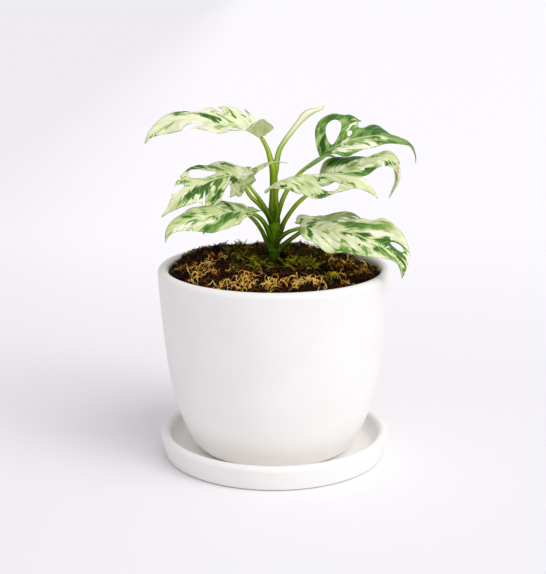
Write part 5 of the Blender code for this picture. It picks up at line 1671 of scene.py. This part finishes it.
def thread_surface(name, stops):
    """Moss threads: each has its own tint, lighter towards its tip."""
    look = Surface(name, *THREAD_SKIN)
    grain = look.noise(look.place(), *THREAD_GRAIN)
    tone = look.total(THREAD_LEVEL, (look.field("tint"), look.field("along"), grain), THREAD_WEIGHTS)
    return look.wear(look.ramp(tone, stops), None, grain, *THREAD_BUMP)


def floor_surface():
    """A plain pale studio floor, with painted shade that darkens it softly towards the left and towards the
    camera.
    """
    look = Surface("studio_floor", *FLOOR_SKIN)
    place = look.place()
    # Painted shade: the floor's colour darkens towards the camera and, more, towards the left
    nearby = look.fade(look.axis(place, "Y"), *FLOOR_NEAR_REACH)
    leftward = look.math("SUBTRACT", look.times(nearby, FLOOR_NEAR_SHIFT), look.axis(place, "X"))
    pale = look.mix(nearby, colour(*FLOOR_COLOUR), FLOOR_NEAR_SHADE)
    return look.wear(look.mix(look.spread(leftward, *FLOOR_SHADE_FALL), pale, FLOOR_SHADE))


# Studio

def add_floor():
    """The studio floor, which isn't part of the object."""
    half = FLOOR_HALF
    corners = [(-half, -half, 0.0), (half, -half, 0.0), (half, half, 0.0), (-half, half, 0.0)]
    mesh = bpy.data.meshes.new("studio_floor")
    mesh.from_pydata(corners, [], [(0, 1, 2, 3)])
    mesh.materials.append(floor_surface())
    floor = placed("studio_floor", mesh)


def add_world():
    """Even light from all round, and a plain tone where the camera sees past the floor."""
    world = bpy.data.worlds.new("studio")
    world.use_nodes = True
    nodes = world.node_tree.nodes
    light = nodes["Background"]
    light.inputs["Color"].default_value = (*WORLD_COLOUR, 1.0)
    light.inputs["Strength"].default_value = WORLD_STRENGTH
    backdrop = nodes.new("ShaderNodeBackground")
    backdrop.inputs["Color"].default_value = colour(*BACKDROP_COLOUR)
    seen = nodes.new("ShaderNodeMixShader")
    straight = nodes.new("ShaderNodeLightPath").outputs["Is Camera Ray"]
    for source, socket in zip((straight, light.outputs[0], backdrop.outputs[0]), seen.inputs):
        world.node_tree.links.new(source, socket)
    world.node_tree.links.new(seen.outputs[0], nodes["World Output"].inputs["Surface"])
    bpy.context.scene.world = world


def add_lamps():
    """Wide soft lamps, each shining from its own side."""
    for name, strength, softness, source in LAMPS:
        sun = bpy.data.lights.new(name, "SUN")
        sun.energy = strength
        sun.angle = math.radians(softness)
        placed(name, sun).rotation_euler = Vector(source).to_track_quat("Z", "Y").to_euler()


def add_camera():
    """The camera at the photograph's place and angle."""
    lens = bpy.data.cameras.new("camera")
    lens.sensor_width = SENSOR
    lens.lens = FOCAL_PIXELS * SENSOR / FRAME_HEIGHT
    lens.clip_start, lens.clip_end = CAMERA_CLIP
    camera = placed("camera", lens)
    camera.location = Vector(CAMERA_PLACE) * MM
    camera.rotation_euler = (math.radians(90.0 - CAMERA_PITCH), 0.0, 0.0)
    bpy.context.scene.camera = camera
    bpy.context.scene.view_settings.view_transform = "Standard"


def main():
    """Every piece, and then the studio."""
    ceramic = ceramic_surface()
    add_saucer(ceramic)
    add_pot(ceramic)
    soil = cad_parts["soil"].data.materials
    soil.clear()
    soil.append(crumb_surface("soil_crumbs", SOIL_TONES))

    mouth = pot_outer_radius(SOIL_TOP) - POT_WALL - GAP
    add_mat("moss_green_mat", "moss_green", "green_moss", lambda angle: STEM_HOLE_RADIUS, green_reach,
            MAT_RINGS_GREEN, crumb_surface("green_moss_mat", GREEN_MAT_TONES))
    add_mat("moss_brown_mat", "moss_brown", "dried_moss", lambda angle: green_reach(angle) + 2.0 * GAP,
            lambda angle: mouth, MAT_RINGS_BROWN, crumb_surface("brown_moss_mat", BROWN_MAT_TONES))
    add_moss_threads()

    add_stem(stem_surface())
    add_new_leaf(new_leaf_surface())
    skin = stalk_surface()
    blade = leaf_surface()
    for seed, (name, leaf) in enumerate(LEAVES.items()):
        add_stalk(name, leaf, skin)
        add_blade(name, leaf, MARKS[name], blade, seed)
    add_floor()
    add_world()
    add_lamps()
    add_camera()


main()
